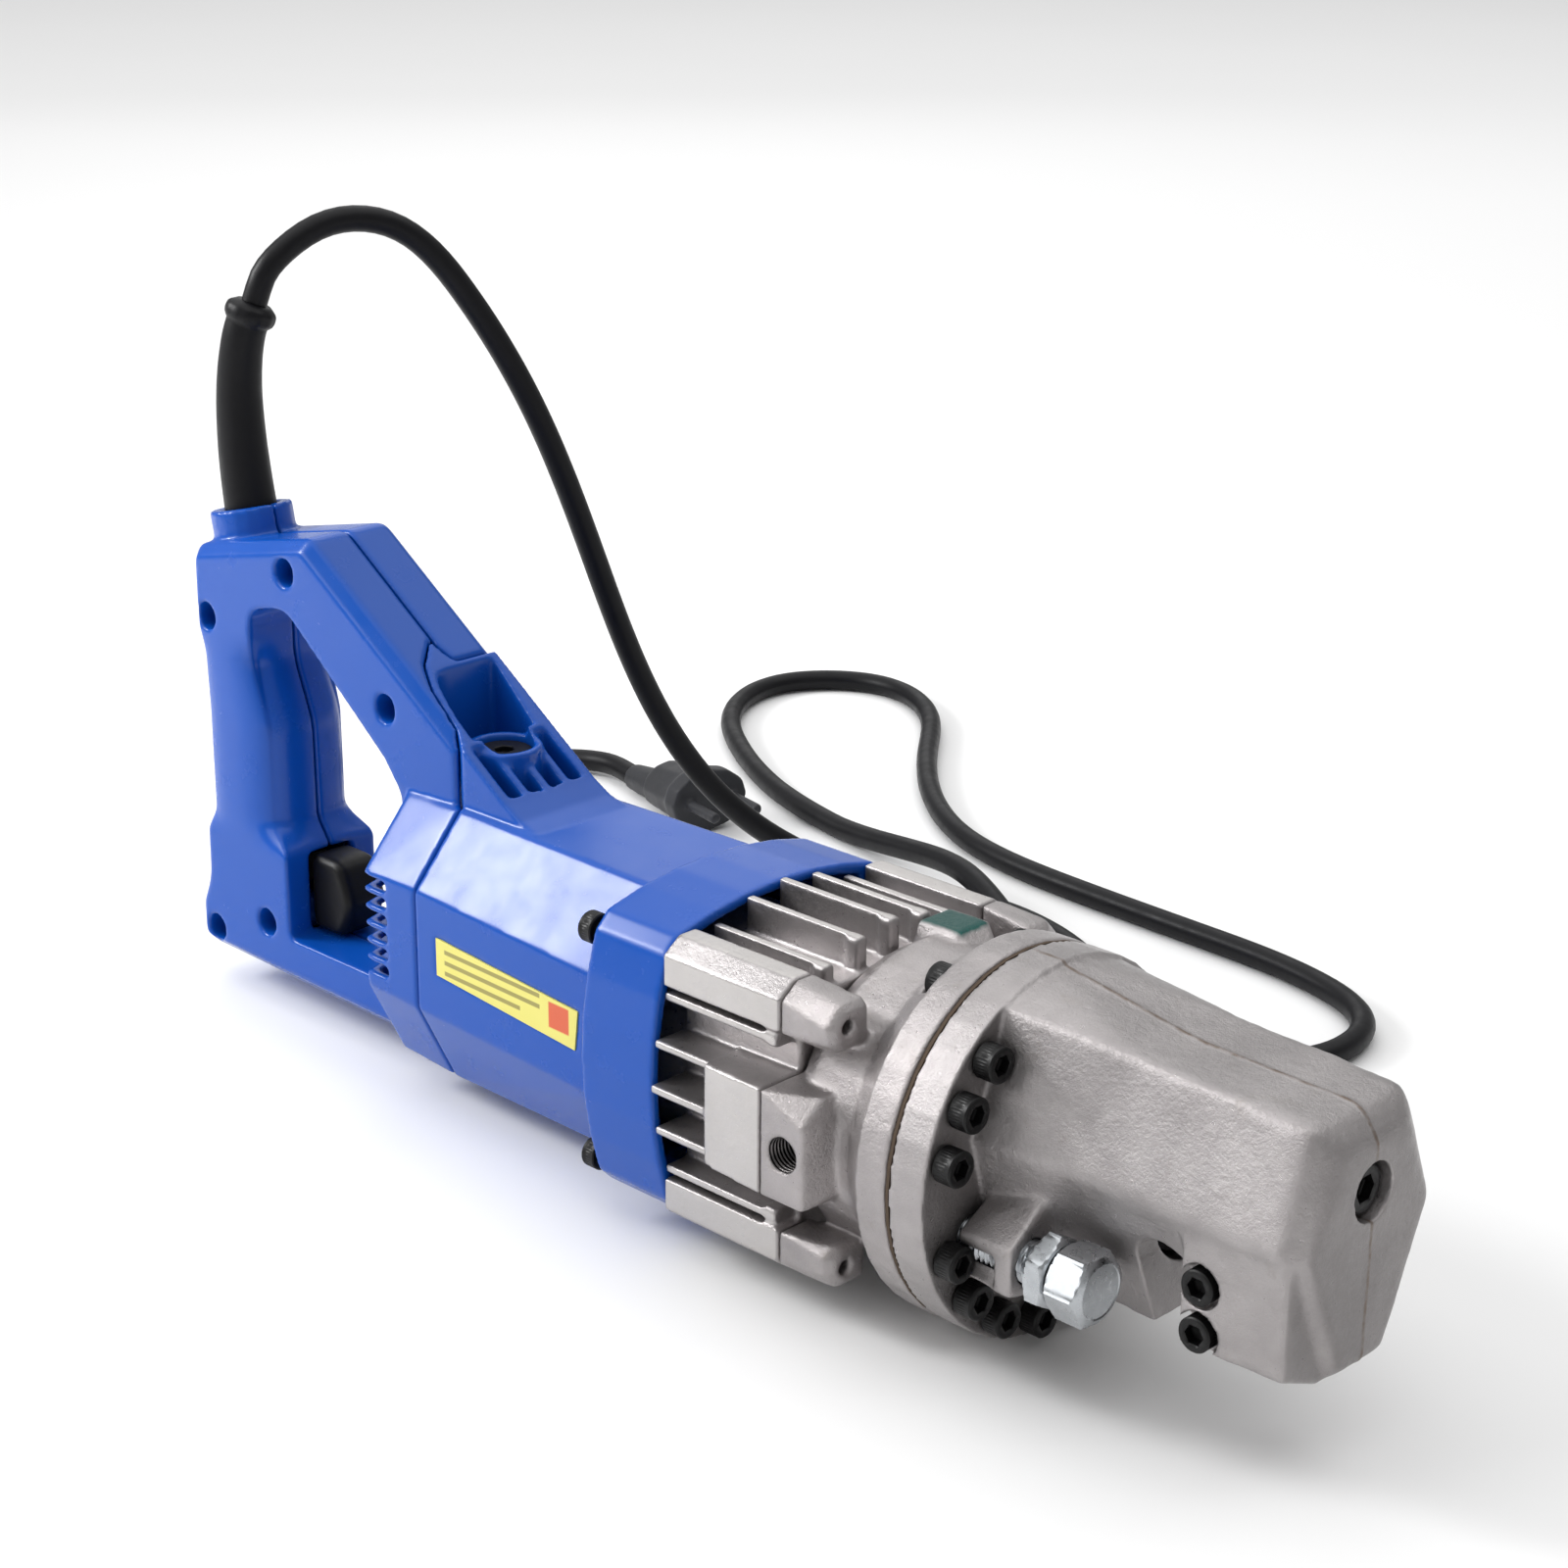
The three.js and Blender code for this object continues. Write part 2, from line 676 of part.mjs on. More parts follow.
function cylinderBody() {
  const barrel = turned([
    [caseFront + CLEARANCE, 0],
    [caseFront + CLEARANCE, 40],
    [-38, 44.5],
    [-22, 44.5],
    [-14, 49],
    [cylinderFlangeRear, flangeRadius],
    [cylinderFront, flangeRadius],
    [cylinderFront, 0],
  ], 0, 0, 40);
  const lug = skin([
    [caseFront + CLEARANCE, post],
    [lugFront, [[33, 28], [44, 28], [47, 31], [47, 36], [42, 41.5], [33, 41.5]]],
    [lugFront + 2.5, [[33, 29], [42, 29], [44.5, 31.5], [44.5, 35], [40.5, 39], [33, 39]]],
  ]);
  const pad = skin([
    [caseFront + CLEARANCE, [[30, -15.5], [padFace, -15.5], [padFace, 15.5], [30, 15.5]]],
    [-29.5, [[30, -15.5], [padFace, -15.5], [padFace, 9], [46, 15.5], [30, 15.5]]],
    [-26, [[30, -12], [44, -12], [44, 9], [30, 9]]],
  ]);
  const lugs = [lug, mirrorY(lug), lug.mirror([0, 0, 1]), mirrorY(lug).mirror([0, 0, 1])];
  const topBoss = skin([
    [caseFront + CLEARANCE, [[4, 38], [7.5, 46.3], [20.5, 46.3], [25, 34]]],
    [-31, [[4, 38], [7.5, 46.3], [20.5, 46.3], [25, 34]]],
    [-26, [[6, 38], [9, 42], [18, 42], [22, 34]]],
  ]);
  let body = union([barrel, topBoss, pad, mirrorY(pad), ...lugs]);
  body = body.subtract(rodX(-38, 1, boreRadius, 0, 0, 32));
  for (const [y, z] of frontScrewSpots) body = body.subtract(rodX(-9.5, 0, 3.3, y, z, 8));
  for (const [y, z] of rearScrewSpots) {
    body = cutAll(body, [rodX(-19, cylinderFlangeRear, 5.5, y, z, 12), rodX(-12, 0, 3.3, y, z, 8)]);
  }
  for (const sy of [-1, 1]) {
    body = body.subtract(rodY(Math.min(sy * 60, sy * 38), Math.max(sy * 60, sy * 38), 4.9, -37, -1, 16));
    for (const sz of [-1, 1]) {
      const y = sy * postY;
      const z = sz * postZ;
      body = cutAll(body, [rodX(-50, -33, 3, y, z, 8), rodX(-34, -20, 2.1, y, z, 8)]);
    }
  }
  return body;
}
piece("cylinder_body", cylinderBody(), "cast");

function headGasket() {
  return turned([
    [cylinderFront + CLEARANCE, flangeRadius - 0.3],
    [0.3, flangeRadius - 0.3],
    [0.3, screwCircle + 3.4],
    [cylinderFront + CLEARANCE, screwCircle + 3.4],
  ], 0, 0, 40);
}
piece("head_gasket", headGasket(), "gasket");

// ---------- Ram: piston, rod and moving cutter ----------
const pistonRear = -37.7;
const pistonFront = -24;
const rodFront = mouth.rear - 0.5 - pistonStroke; // at full stroke the rod stays out of the mouth
const cutterRadius = 14;

piece(
  "piston",
  turned([
    [pistonRear, 0],
    [pistonRear, boreRadius - 1.5],
    [-32, boreRadius - 1.5],
    [-32, boreRadius - CLEARANCE],
    [pistonFront, boreRadius - CLEARANCE],
    [pistonFront, rodRadius],
    [rodFront, rodRadius],
    [rodFront, 0],
  ], 0, 0, 32),
  "steel",
);

piece(
  "moving_cutter",
  turned([
    [rodFront + CLEARANCE, 0],
    [rodFront + CLEARANCE, cutterRadius],
    [54, cutterRadius],
    [mouth.rear, 9],
    [mouth.rear, 0],
  ], 0, 0, 24).intersect(box(rodFront, mouth.rear + 1, -20, 20, -13, 20)),
  "black",
);

const springSeat = { rear: pistonFront + 0.4, front: 7.4, inner: 16, outer: 21.5 };

function returnSpring() {
  const turns = 4;
  const wire = 1.6;
  const path = [];
  const radius = (springSeat.inner + springSeat.outer) / 2;
  const perTurn = 12;
  for (let i = 0; i <= turns * perTurn; i++) {
    const a = (i / perTurn) * 2 * Math.PI;
    const t = i / (turns * perTurn);
    const x = THREE.MathUtils.lerp(springSeat.rear + wire, springSeat.front - wire, t);
    path.push(V(x, radius * Math.cos(a), radius * Math.sin(a)));
  }
  const section = new THREE.Shape();
  section.absarc(0, 0, wire, 0, 2 * Math.PI);
  const g = new THREE.ExtrudeGeometry(section, {
    steps: turns * perTurn,
    curveSegments: 3,
    bevelEnabled: false,
    extrudePath: new THREE.CatmullRomCurve3(path),
  });
  return solid(g);
}
piece("return_spring", returnSpring(), "steel");

// ---------- Cutter head ----------
function cutterHead() {
  const flange = rodX(0.6, headFlangeFront, flangeRadius, 0, 0, 40);
  const bodySection = bothSides([
    [19.5, 43.5],
    [30.5, 13],
    [14, jawBottom],
  ]);
  const body = chain([
    [headFlangeFront - 2, bothSides([[21, 47.5], [33, 13], [17, -32]])],
    [30, bothSides([[20, 45.5], [30.5, 13], [14, jawBottom - 1]])],
    [104, bodySection],
    [headTip, bothSides([[14, 36], [25, 12], [9, -24]])],
  ]);
  const neck = skin([
    [headFlangeFront - 1, bothSides([[21, 47], [35, 14], [24, -26]])],
    [38, bothSides([[20, 45.2], [30.4, 13], [14, jawBottom - 1]])],
  ]);
  const neckTop = skin([
    [headFlangeFront - 1, bothSides([[3, 52.4], [10, 51.6], [17, 49.8], [23.5, 47.3], [29, 20]])],
    [56, bothSides([[19.7, 44.8], [27, 20]])],
  ]);
  const screwPad = skin([
    [mouth.front, [[-29, 12], [-28.5, -21], [-12, jawBottom], [0, 0]]],
    [106.5, [[-29, 12], [-28.5, -21], [-12, jawBottom], [0, 0]]],
  ]);
  const boss = skin([
    [14, [[stopper.y - 8, stopper.z - 7], [stopper.y - 8, stopper.z + 5], [-20, 3], [-10, -24]]],
    [32, [[stopper.y - 9, stopper.z - 8], [stopper.y - 9, stopper.z + 6], [-22, 6], [-10, -26]]],
  ]);
  let head = union([flange, body, neck, neckTop, screwPad, boss]);
  const mouthMiddle = (mouth.rear + mouth.front) / 2;
  const mouthRadius = (mouth.front - mouth.rear) / 2;
  head = cutAll(head, [
    box(mouth.rear, mouth.front, -50, 50, -60, mouth.top - mouthRadius),
    rodY(-50, 50, mouthRadius, mouthMiddle, mouth.top - mouthRadius, 24),
    rodX(0, mouth.rear + 1, rodRadius + CLEARANCE, 0, 0, 32),
    rodX(mouth.rear, mouth.front, cutterRadius + 0.4, 0, 0, 24),
    rodX(0, springSeat.front + CLEARANCE, springSeat.outer + 0.5, 0, 0, 32),
    box(mouth.front - 1, 90.3, -12.3, 12.3, -24.3, 4.3),
    rodX(101, headTip + 1, 8, 0, 22, 20),
    rodX(86, headTip + 1, 4.4, 0, 22, 12),
    rodX(0, 40, stopper.radius + CLEARANCE, stopper.y, stopper.z, 16),
  ]);
  for (const z of fixedCutterScrewHeights) {
    head = cutAll(head, [rodY(-40, -24, 6, 80.5, z, 16), rodY(-30, -10, 3.4, 80.5, z, 8)]);
  }
  for (const [y, z] of frontScrewSpots) {
    const hole = rodX(0, headFlangeFront + 1, 3.3, y, z, 8);
    const headRoom = rodX(headFlangeFront, 26, 5.7, y, z, 12);
    head = cutAll(head, [hole, headRoom]);
  }
  for (const [y, z] of rearScrewSpots) head = head.subtract(rodX(0, 10, 3.3, y, z, 8));
  return head;
}

const fixedCutterScrewHeights = [-4, -17];
piece("cutter_head", cutterHead(), "cast");

piece(
  "fixed_cutter",
  fixedCutterScrewHeights.reduce(
    (block, z) => block.subtract(rodY(-13, 0, 3.4, 80.5, z, 8)),
    box(mouth.front + 0.2, 90, -12, 12, -24, 4),
  ),
  "black",
);

function capScrewY(x, z, face, reach) {
  const head = rodY(face - 5.5, face, 4.8, x, z, 12);
  const socket = rodY(face - 6, face - 2.6, 2.6, x, z, 6);
  return head.subtract(socket).add(rodY(face - 0.5, reach, 3, x, z, 8));
}
fixedCutterScrewHeights.forEach((z, i) => {
  piece("fixed_cutter_screw_" + (i + 1), capScrewY(80.5, z, -24.3, -1), "black");
});

function capScrewX(y, z, headRear, headFront, tip, headRadius, shankRadius) {
  const outward = Math.sign(headFront - headRear);
  const span = [headRear, headFront].sort((a, b) => a - b);
  const head = rodX(...span, headRadius, y, z, 10);
  const socketFrom = headFront - outward * 3;
  const socket = rodX(...[socketFrom, headFront + outward].sort((a, b) => a - b), headRadius * 0.52, y, z, 6);
  const shank = rodX(...[tip, headRear + outward * 0.5].sort((a, b) => a - b), shankRadius, y, z, 6);
  return head.subtract(socket).add(shank);
}

piece("head_tip_screw", capScrewX(0, 22, 101.3, 107.5, 88, 6.5, 4), "black");

const frontHead = headFlangeFront + CLEARANCE;
frontScrewSpots.forEach(([y, z], i) => {
  piece("flange_screw_" + (i + 1), capScrewX(y, z, frontHead, frontHead + 6, -8.5, 5, 2.9), "black");
});
const rearHead = cylinderFlangeRear - CLEARANCE;
rearScrewSpots.forEach(([y, z], i) => {
  const number = frontScrewSpots.length + i + 1;
  piece("flange_screw_" + number, capScrewX(y, z, rearHead, rearHead - 6, 9, 5, 2.9), "black");
});

// ---------- Adjustable stopper ----------
function hexX(x0, x1, flats, turn) {
  const r = flats / Math.sqrt(3);
  const outline = [];
  for (let i = 0; i < 6; i++) {
    const a = turn + (i * Math.PI) / 3;
    outline.push([stopper.y + r * Math.cos(a), stopper.z + r * Math.sin(a)]);
  }
  return prismX(outline, x0, x1);
}

function stopperNut() {
  const hole = rodX(30, 60, stopper.radius + CLEARANCE, stopper.y, stopper.z, 16);
  return hexX(stopper.nutRear, stopper.nutFront, stopper.flats, 0).subtract(hole);
}
piece("stopper_nut", stopperNut(), "zinc");

piece(
  "stopper_bolt",
  hexX(stopper.nutFront + CLEARANCE + 0.4, stopper.headFront, stopper.flats, 0.3).add(
    rodX(9, stopper.nutFront + 1, stopper.radius, stopper.y, stopper.z, 16),
  ),
  "zinc",
);

// ---------- Trigger and its switch ----------
piece(
  "trigger",
  bevelledY(rounded([
    [-298.7, -25, 3],
    [-283, -25, 6],
    [-277.5, -12, 6],
    [-283, 1.2, 6],
    [-298.7, 1.2, 3],
  ]), 8.2, 2),
  "rubber",
);
const switchBody = box(-336, -313, -10, 10, -15, 20);
const switchNose = box(-314, -306.2, -5, 5, -12, -3);
piece("trigger_switch", switchBody.add(switchNose), "black");

// ---------- Cord guard, cord and plug ----------
// The guard leans back with the handle's top and gives to the side that the cord falls to.
const guardCurve = new THREE.CatmullRomCurve3([
  onCordAxis(-8),
  onCordAxis(8),
  V(-334.3, 0, 130),
  V(-335.2, 0.5, 150),
  V(-333.4, 1.7, 166),
  V(-331, 5, 177),
]);

// A round piece turned about a curve; the profile is [fraction of the curve, radius] pairs.
function turnedAlong(curve, profile, sides) {
  const points = [new THREE.Vector2(0, profile[0][0]), ...profile.map(([t, r]) => new THREE.Vector2(r, t))];
  points.push(new THREE.Vector2(0, profile.at(-1)[0]));
  const g = new THREE.LatheGeometry(points, sides);
  const spots = g.attributes.position;
  for (let i = 0; i < spots.count; i++) {
    const t = THREE.MathUtils.clamp(spots.getY(i), 0, 1);
    const along = curve.getTangentAt(t);
    const across = V(1, 0, 0).addScaledVector(along, -along.x).normalize();
    const third = across.clone().cross(along);
    const spot = curve.getPointAt(t);
    spot.addScaledVector(across, spots.getX(i)).addScaledVector(third, spots.getZ(i));
    spots.setXYZ(i, spot.x, spot.y, spot.z);
  }
  return solid(g);
}

piece(
  "cord_guard",
  turnedAlong(guardCurve, [
    [0, 8.6],
    [0.2, 8.6],
    [0.35, 8.2],
    [0.5, 7.8],
    [0.65, 7.4],
    [0.8, 7],
    [0.93, 6.8],
    [0.95, 8.4],
    [0.985, 8.4],
    [1, 7.6],
  ], 14),
  "rubber",
);

const floorZ = -flangeRadius + cordDiameter / 2 + 0.1; // middle of a cord that lies on the ground

const guardEnd = guardCurve.getPointAt(1);
const guardEndWay = guardCurve.getTangentAt(1);
const cordStart = guardEnd.clone().addScaledVector(guardEndWay, CLEARANCE);

const cordRoute = [
  [-327, 14.5, 193],
  [-321.5, 29, 201],
  [-314, 47, 199.5],
  [-303.5, 69, 176],
  [-293, 90, 134],
  [-285.5, 108, 83],
  [-278, 127, 30],
  [-263, 157, -18],
  [-236, 194, -45],
  [-190, 211, floorZ],
  [-139, 200, floorZ],
  [-102, 175, floorZ],
  [-69, 162, floorZ],
  [-36, 178, floorZ],
  [-35, 218, floorZ],
  [-68, 238, floorZ],
  [-120, 244, floorZ],
  [-180, 247, floorZ],
  [-238, 257, floorZ],
  [-284, 286, floorZ],
  [-325, 330, floorZ],
  [-359, 366, floorZ],
  [-398, 377, floorZ],
  [-427, 350, floorZ],
  [-418, 310, floorZ],
  [-380, 274, floorZ],
  [-334, 248, floorZ],
  [-280, 232, floorZ + 0.3],
  [-229, 221, floorZ + 7],
  [-203, 212, floorZ + 9.8],
  [-179, 201, floorZ + 7.5],
  [-143, 182, floorZ],
  [-117, 154, floorZ],
  [-121, 119, floorZ],
  [-156, 104, floorZ],
  [-230, 101, floorZ],
  [-330, 110, floorZ],
  [-408, 138, floorZ],
  [-436, 170, floorZ],
  [-423, 207, floorZ],
];
const plugWay = V(Math.cos(-12 * DEG), Math.sin(-12 * DEG), 0); // from the cord to the pins
const plugEntry = V(-380, 214.5, floorZ + 1.6);
const cordEnd = plugEntry.clone().addScaledVector(plugWay, -CLEARANCE);

function cordRun() {
  const straightOut = guardEnd.clone().addScaledVector(guardEndWay, 9);
  const straightIn = plugEntry.clone().addScaledVector(plugWay, -16);
  const middle = cordRoute.map(([x, y, z]) => V(x, y, z));
  const route = [cordStart, straightOut, ...middle, straightIn, cordEnd];
  const section = new THREE.Shape();
  const r = cordDiameter / 2;
  for (let i = 0; i < 8; i++) {
    const a = ((i + 0.5) * Math.PI) / 4;
    if (i) section.lineTo(r * Math.cos(a), r * Math.sin(a));
    else section.moveTo(r * Math.cos(a), r * Math.sin(a));
  }
  const g = new THREE.ExtrudeGeometry(section, {
    steps: 80,
    bevelEnabled: false,
    extrudePath: new THREE.CatmullRomCurve3(route),
  });
  return solid(g);
}
piece("cord_run", cordRun(), "rubber");

// A two-pin plug that lies on its side, drawn along X from the cord's entry and then turned into place.
function mainsPlug() {
  const low = -cordDiameter / 2 - 1.2; // the ground, below the cord's entry
  const ring = (y, z) => {
    const points = [];
    for (let i = 0; i < 12; i++) {
      const a = (i * Math.PI) / 6;
      points.push([y * Math.cos(a), low + z + z * Math.sin(a)]);
    }
    return points;
  };
  const body = chain([
    [0, ring(5.4, 5.4)],
    [20, ring(7, 7)],
    [26, ring(12, 10)],
    [46, ring(14.5, 11.5)],
    [50, ring(17, 12.5)],
    [57, ring(17, 12.5)],
  ]);
  const pins = [-9.5, 9.5].map((y) => rodX(56, 76, 2.4, y, low + 12.5, 8));
  const turn = (Math.atan2(plugWay.y, plugWay.x) * 180) / Math.PI;
  return union([body, ...pins]).rotate([0, 0, turn]).translate(plugEntry.toArray());
}
piece("plug", mainsPlug(), "plug");

// ---------- Frame: origin in the middle of the underside ----------
const assembly = new THREE.Group();
assembly.add(tool);
tool.position.set(-(handleRear + headTip) / 2, 0, flangeRadius);

export default assembly;
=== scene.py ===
"""Visual model of a handheld rebar cutter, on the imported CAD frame.

Metres, +Z up, +X from the handle to the cutter head.
"""
import math

import bmesh
import bpy
import numpy as np
from mathutils import Matrix, Vector


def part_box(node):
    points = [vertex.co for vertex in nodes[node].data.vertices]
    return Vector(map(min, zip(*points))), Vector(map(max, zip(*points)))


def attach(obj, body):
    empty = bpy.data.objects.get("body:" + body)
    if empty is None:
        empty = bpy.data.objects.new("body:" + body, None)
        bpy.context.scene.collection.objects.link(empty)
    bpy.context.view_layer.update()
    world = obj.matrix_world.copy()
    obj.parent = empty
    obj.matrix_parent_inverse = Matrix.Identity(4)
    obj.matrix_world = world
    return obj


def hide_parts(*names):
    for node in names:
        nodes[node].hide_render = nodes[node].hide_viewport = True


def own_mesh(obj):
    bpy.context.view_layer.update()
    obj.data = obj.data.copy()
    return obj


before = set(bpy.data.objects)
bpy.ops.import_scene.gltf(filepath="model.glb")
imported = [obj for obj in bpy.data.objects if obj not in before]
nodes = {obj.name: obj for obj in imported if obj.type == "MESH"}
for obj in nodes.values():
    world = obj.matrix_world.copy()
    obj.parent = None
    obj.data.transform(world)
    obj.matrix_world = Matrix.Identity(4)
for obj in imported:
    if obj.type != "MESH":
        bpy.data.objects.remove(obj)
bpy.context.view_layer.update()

# The tool's own axes: x = 0 at the joint between cylinder and cutter head, z = 0 on the ram's axis.
piston_low, piston_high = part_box("piston")
handle_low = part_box("handle_shell_left")[0]
HANDLE_REAR = 0.348  # from the tool's own origin back to the handle's rear end
ORIGIN = Vector((handle_low.x + HANDLE_REAR, 0, (piston_low.z + piston_high.z) / 2))
STOP_AXIS = Vector((0, -0.033, ORIGIN.z - 0.014))  # a point on the bar stop's axis, which runs along X


def at(x, y, z):
    """A point in the row frame, in metres, from millimetres on the tool's own axes."""
    return ORIGIN + Vector((x, y, z)) / 1000


# ---------- Camera, floor and light ----------
CAMERA_PLACE = (0.58702, -0.57618, 0.41428)
CAMERA_RIGHT = (0.71707, 0.69696, 0.00725)
CAMERA_BACK = (0.65506, -0.67744, 0.33461)
CAMERA_LENS = 70.33  # millimetres, on a sensor 36 mm wide
WORLD_STRENGTH = 0.42
LIGHTS = [  # name, place, target, size, power in watts
    ("ceiling", (-0.8, 0.9, 3.4), (-0.8, 0.9, 0), (6.0, 6.0), 140),
    ("key", (-0.75, -1.2, 0.95), (0.02, 0, 0.06), (0.9, 0.8), 7),
    ("facet", (-0.93, -0.57, 0.71), (-0.06, -0.03, 0.086), (0.3, 0.34), 9),
    ("back", (-1.7, 1.5, 0.95), (0, 0, 0.08), (1.2, 0.8), 2.5),
]


def add_object(name, data):
    obj = bpy.data.objects.new(name, data)
    bpy.context.scene.collection.objects.link(obj)
    return obj


def add_camera():
    camera = add_object("camera", bpy.data.cameras.new("camera"))
    camera.data.lens = CAMERA_LENS
    camera.data.sensor_width = 36
    camera.data.clip_start = 0.05
    back = Vector(CAMERA_BACK).normalized()
    up = back.cross(Vector(CAMERA_RIGHT)).normalized()
    right = up.cross(back)
    turn = Matrix((right, up, back)).transposed().to_4x4()
    camera.matrix_world = Matrix.Translation(CAMERA_PLACE) @ turn
    bpy.context.scene.camera = camera


def add_light(name, place, target, size, power):
    light = add_object(name, bpy.data.lights.new(name, "AREA"))
    light.data.shape = "RECTANGLE"
    light.data.size, light.data.size_y = size
    light.data.energy = power
    light.location = place
    light.rotation_mode = "QUATERNION"
    light.rotation_quaternion = (Vector(target) - Vector(place)).to_track_quat("-Z", "Y")


def add_world():
    world = bpy.data.worlds.new("studio")
    bpy.context.scene.world = world
    world.use_nodes = True
    background = world.node_tree.nodes["Background"]
    background.inputs["Color"].default_value = (1, 1, 1, 1)
    background.inputs["Strength"].default_value = WORLD_STRENGTH


add_camera()
add_world()
for light_values in LIGHTS:
    add_light(*light_values)
bpy.context.scene.view_settings.view_transform = "Standard"


# ---------- Materials ----------
class Paint:
    """A procedural material. The nodes read object coordinates, which are the row frame's metres."""

    def __init__(self, name, **shader):
        self.material = bpy.data.materials.new(name)
        self.material.use_nodes = True
        self.tree = self.material.node_tree
        self.shader = self.tree.nodes["Principled BSDF"]
        for socket, value in shader.items():
            self.set(self.shader, socket, value)
        self.coordinates = self.tree.nodes.new("ShaderNodeTexCoord").outputs["Object"]

    def set(self, node, socket, value):
        socket = node.inputs[socket if isinstance(socket, int) else socket.replace("_", " ")]
        if isinstance(value, bpy.types.NodeSocket):
            self.tree.links.new(value, socket)
        elif isinstance(value, tuple) and len(value) == 3 and socket.type == "RGBA":
            socket.default_value = (*value, 1)
        else:
            socket.default_value = value

    def node(self, kind, output=0, **values):
        node = self.tree.nodes.new("ShaderNode" + kind)
        for name, value in values.items():
            if hasattr(node, name):
                setattr(node, name, value)
            else:
                self.set(node, name, value)
        return node.outputs[output]

    def noise(self, size, detail=3.0, rough=0.55, stretch=None):
        """Noise from 0 to 1 whose marks are about size metres across."""
        place = self.coordinates
        if stretch:
            place = self.node("Mapping", Vector=place, Scale=stretch)
        return self.node("TexNoise", Vector=place, Scale=1 / size, Detail=detail, Roughness=rough)

    def spread(self, value, low, high, to_low=0.0, to_high=1.0):
        """Maps low to high onto to_low to to_high, and stops at both ends."""
        node = self.tree.nodes.new("ShaderNodeMapRange")
        self.tree.links.new(value, node.inputs["Value"])
        limits = {"From Min": low, "From Max": high, "To Min": to_low, "To Max": to_high}
        for name, number in limits.items():
            node.inputs[name].default_value = number
        return node.outputs["Result"]

    def mix(self, share, a, b):
        node = self.tree.nodes.new("ShaderNodeMix")
        node.data_type = "RGBA"
        self.set(node, 0, share)
        for index, value in ((6, a), (7, b)):
            self.set(node, index, value)
        return node.outputs[2]

    def math(self, operation, a, b=0.0):
        node = self.tree.nodes.new("ShaderNodeMath")
        node.operation = operation
        self.set(node, 0, a)
        self.set(node, 1, b)
        return node.outputs[0]

    def times(self, first, *others):
        """All the values multiplied together."""
        for other in others:
            first = self.math("MULTIPLY", first, other)
        return first

    def wander(self, size, detail, width):
        """Noise around zero that makes an edge uneven by up to half of width either way."""
        return self.times(self.math("SUBTRACT", self.noise(size, detail), 0.5), width)

    def bumps(self, *layers):
        """Stacks bumps: each layer is (height, distance in metres, strength)."""
        normal = None
        for height, distance, strength in layers:
            node = self.tree.nodes.new("ShaderNodeBump")
            node.inputs["Distance"].default_value = distance
            node.inputs["Strength"].default_value = strength
            self.tree.links.new(height, node.inputs["Height"])
            if normal:
                self.tree.links.new(normal, node.inputs["Normal"])
            normal = node.outputs["Normal"]
        self.tree.links.new(normal, self.shader.inputs["Normal"])

    def along(self, axis, place=None):
        """One coordinate, of the surface point or of another place."""
        return self.node("SeparateXYZ", "XYZ".index(axis), Vector=place or self.coordinates)

    def within(self, axis, low, high, soft=0.0006, place=None):
        """1 where the coordinate lies between low and high, 0 elsewhere."""
        value = self.along(axis, place)
        above = self.spread(value, low - soft, low + soft)
        below = self.spread(value, high + soft, high - soft)
        return self.times(above, below)

    def facing(self, axis, low, high):
        """Rises from 0 to 1 as the surface turns from low to high of facing along the axis, either way."""
        normal = self.node("NewGeometry", 1)
        return self.spread(self.math("ABSOLUTE", self.along(axis, normal)), low, high)


def blue_plastic():
    p = Paint("shell_blue", Roughness=0.3, IOR=1.37)
    cloud = p.noise(0.06, 2)
    p.set(p.shader, "Base_Color", p.mix(cloud, (0.002, 0.066, 0.37), (0.004, 0.074, 0.4)))
    p.set(p.shader, "Roughness", p.spread(p.noise(0.012, 4, 0.6), 0.3, 0.7, 0.2, 0.29))
    p.bumps((p.noise(0.0009, 2), 0.00005, 0.12), (p.noise(0.02, 1), 0.0005, 0.14))
    return p.material


def cast_paint(name, light, dark, metal=0.85, grain=0.9):
    """Sand-cast metal under silver-grey lacquer, darker in the hollows of its sand grain, with a few grubby
    spots.

    Returns the paint, its base colour, and the sand and orange-peel textures for its bumps.
    """
    p = Paint(name, Metallic=metal, Coat_Weight=0.15, Coat_Roughness=0.25)
    sand = p.noise(0.0011 * grain, 5, 0.75)
    peel = p.noise(0.0021 * grain, 3, 0.6)
    cloud = p.noise(0.028, 3, 0.6)
    base = p.mix(p.spread(cloud, 0.35, 0.65), light, dark)
    # darker where the sand texture is low, in the hollows of its bump
    pits = p.spread(sand, 0.28, 0.38, 1, 0)
    base = p.mix(p.times(pits, 0.35), base, (0.16, 0.145, 0.13))
    grub = p.times(p.spread(p.noise(0.009, 5, 0.7), 0.6, 0.74), 0.3)
    base = p.mix(grub, base, (0.24, 0.215, 0.185))
    p.set(p.shader, "Roughness", p.spread(peel, 0.3, 0.7, 0.27, 0.4))
    return p, base, sand, peel


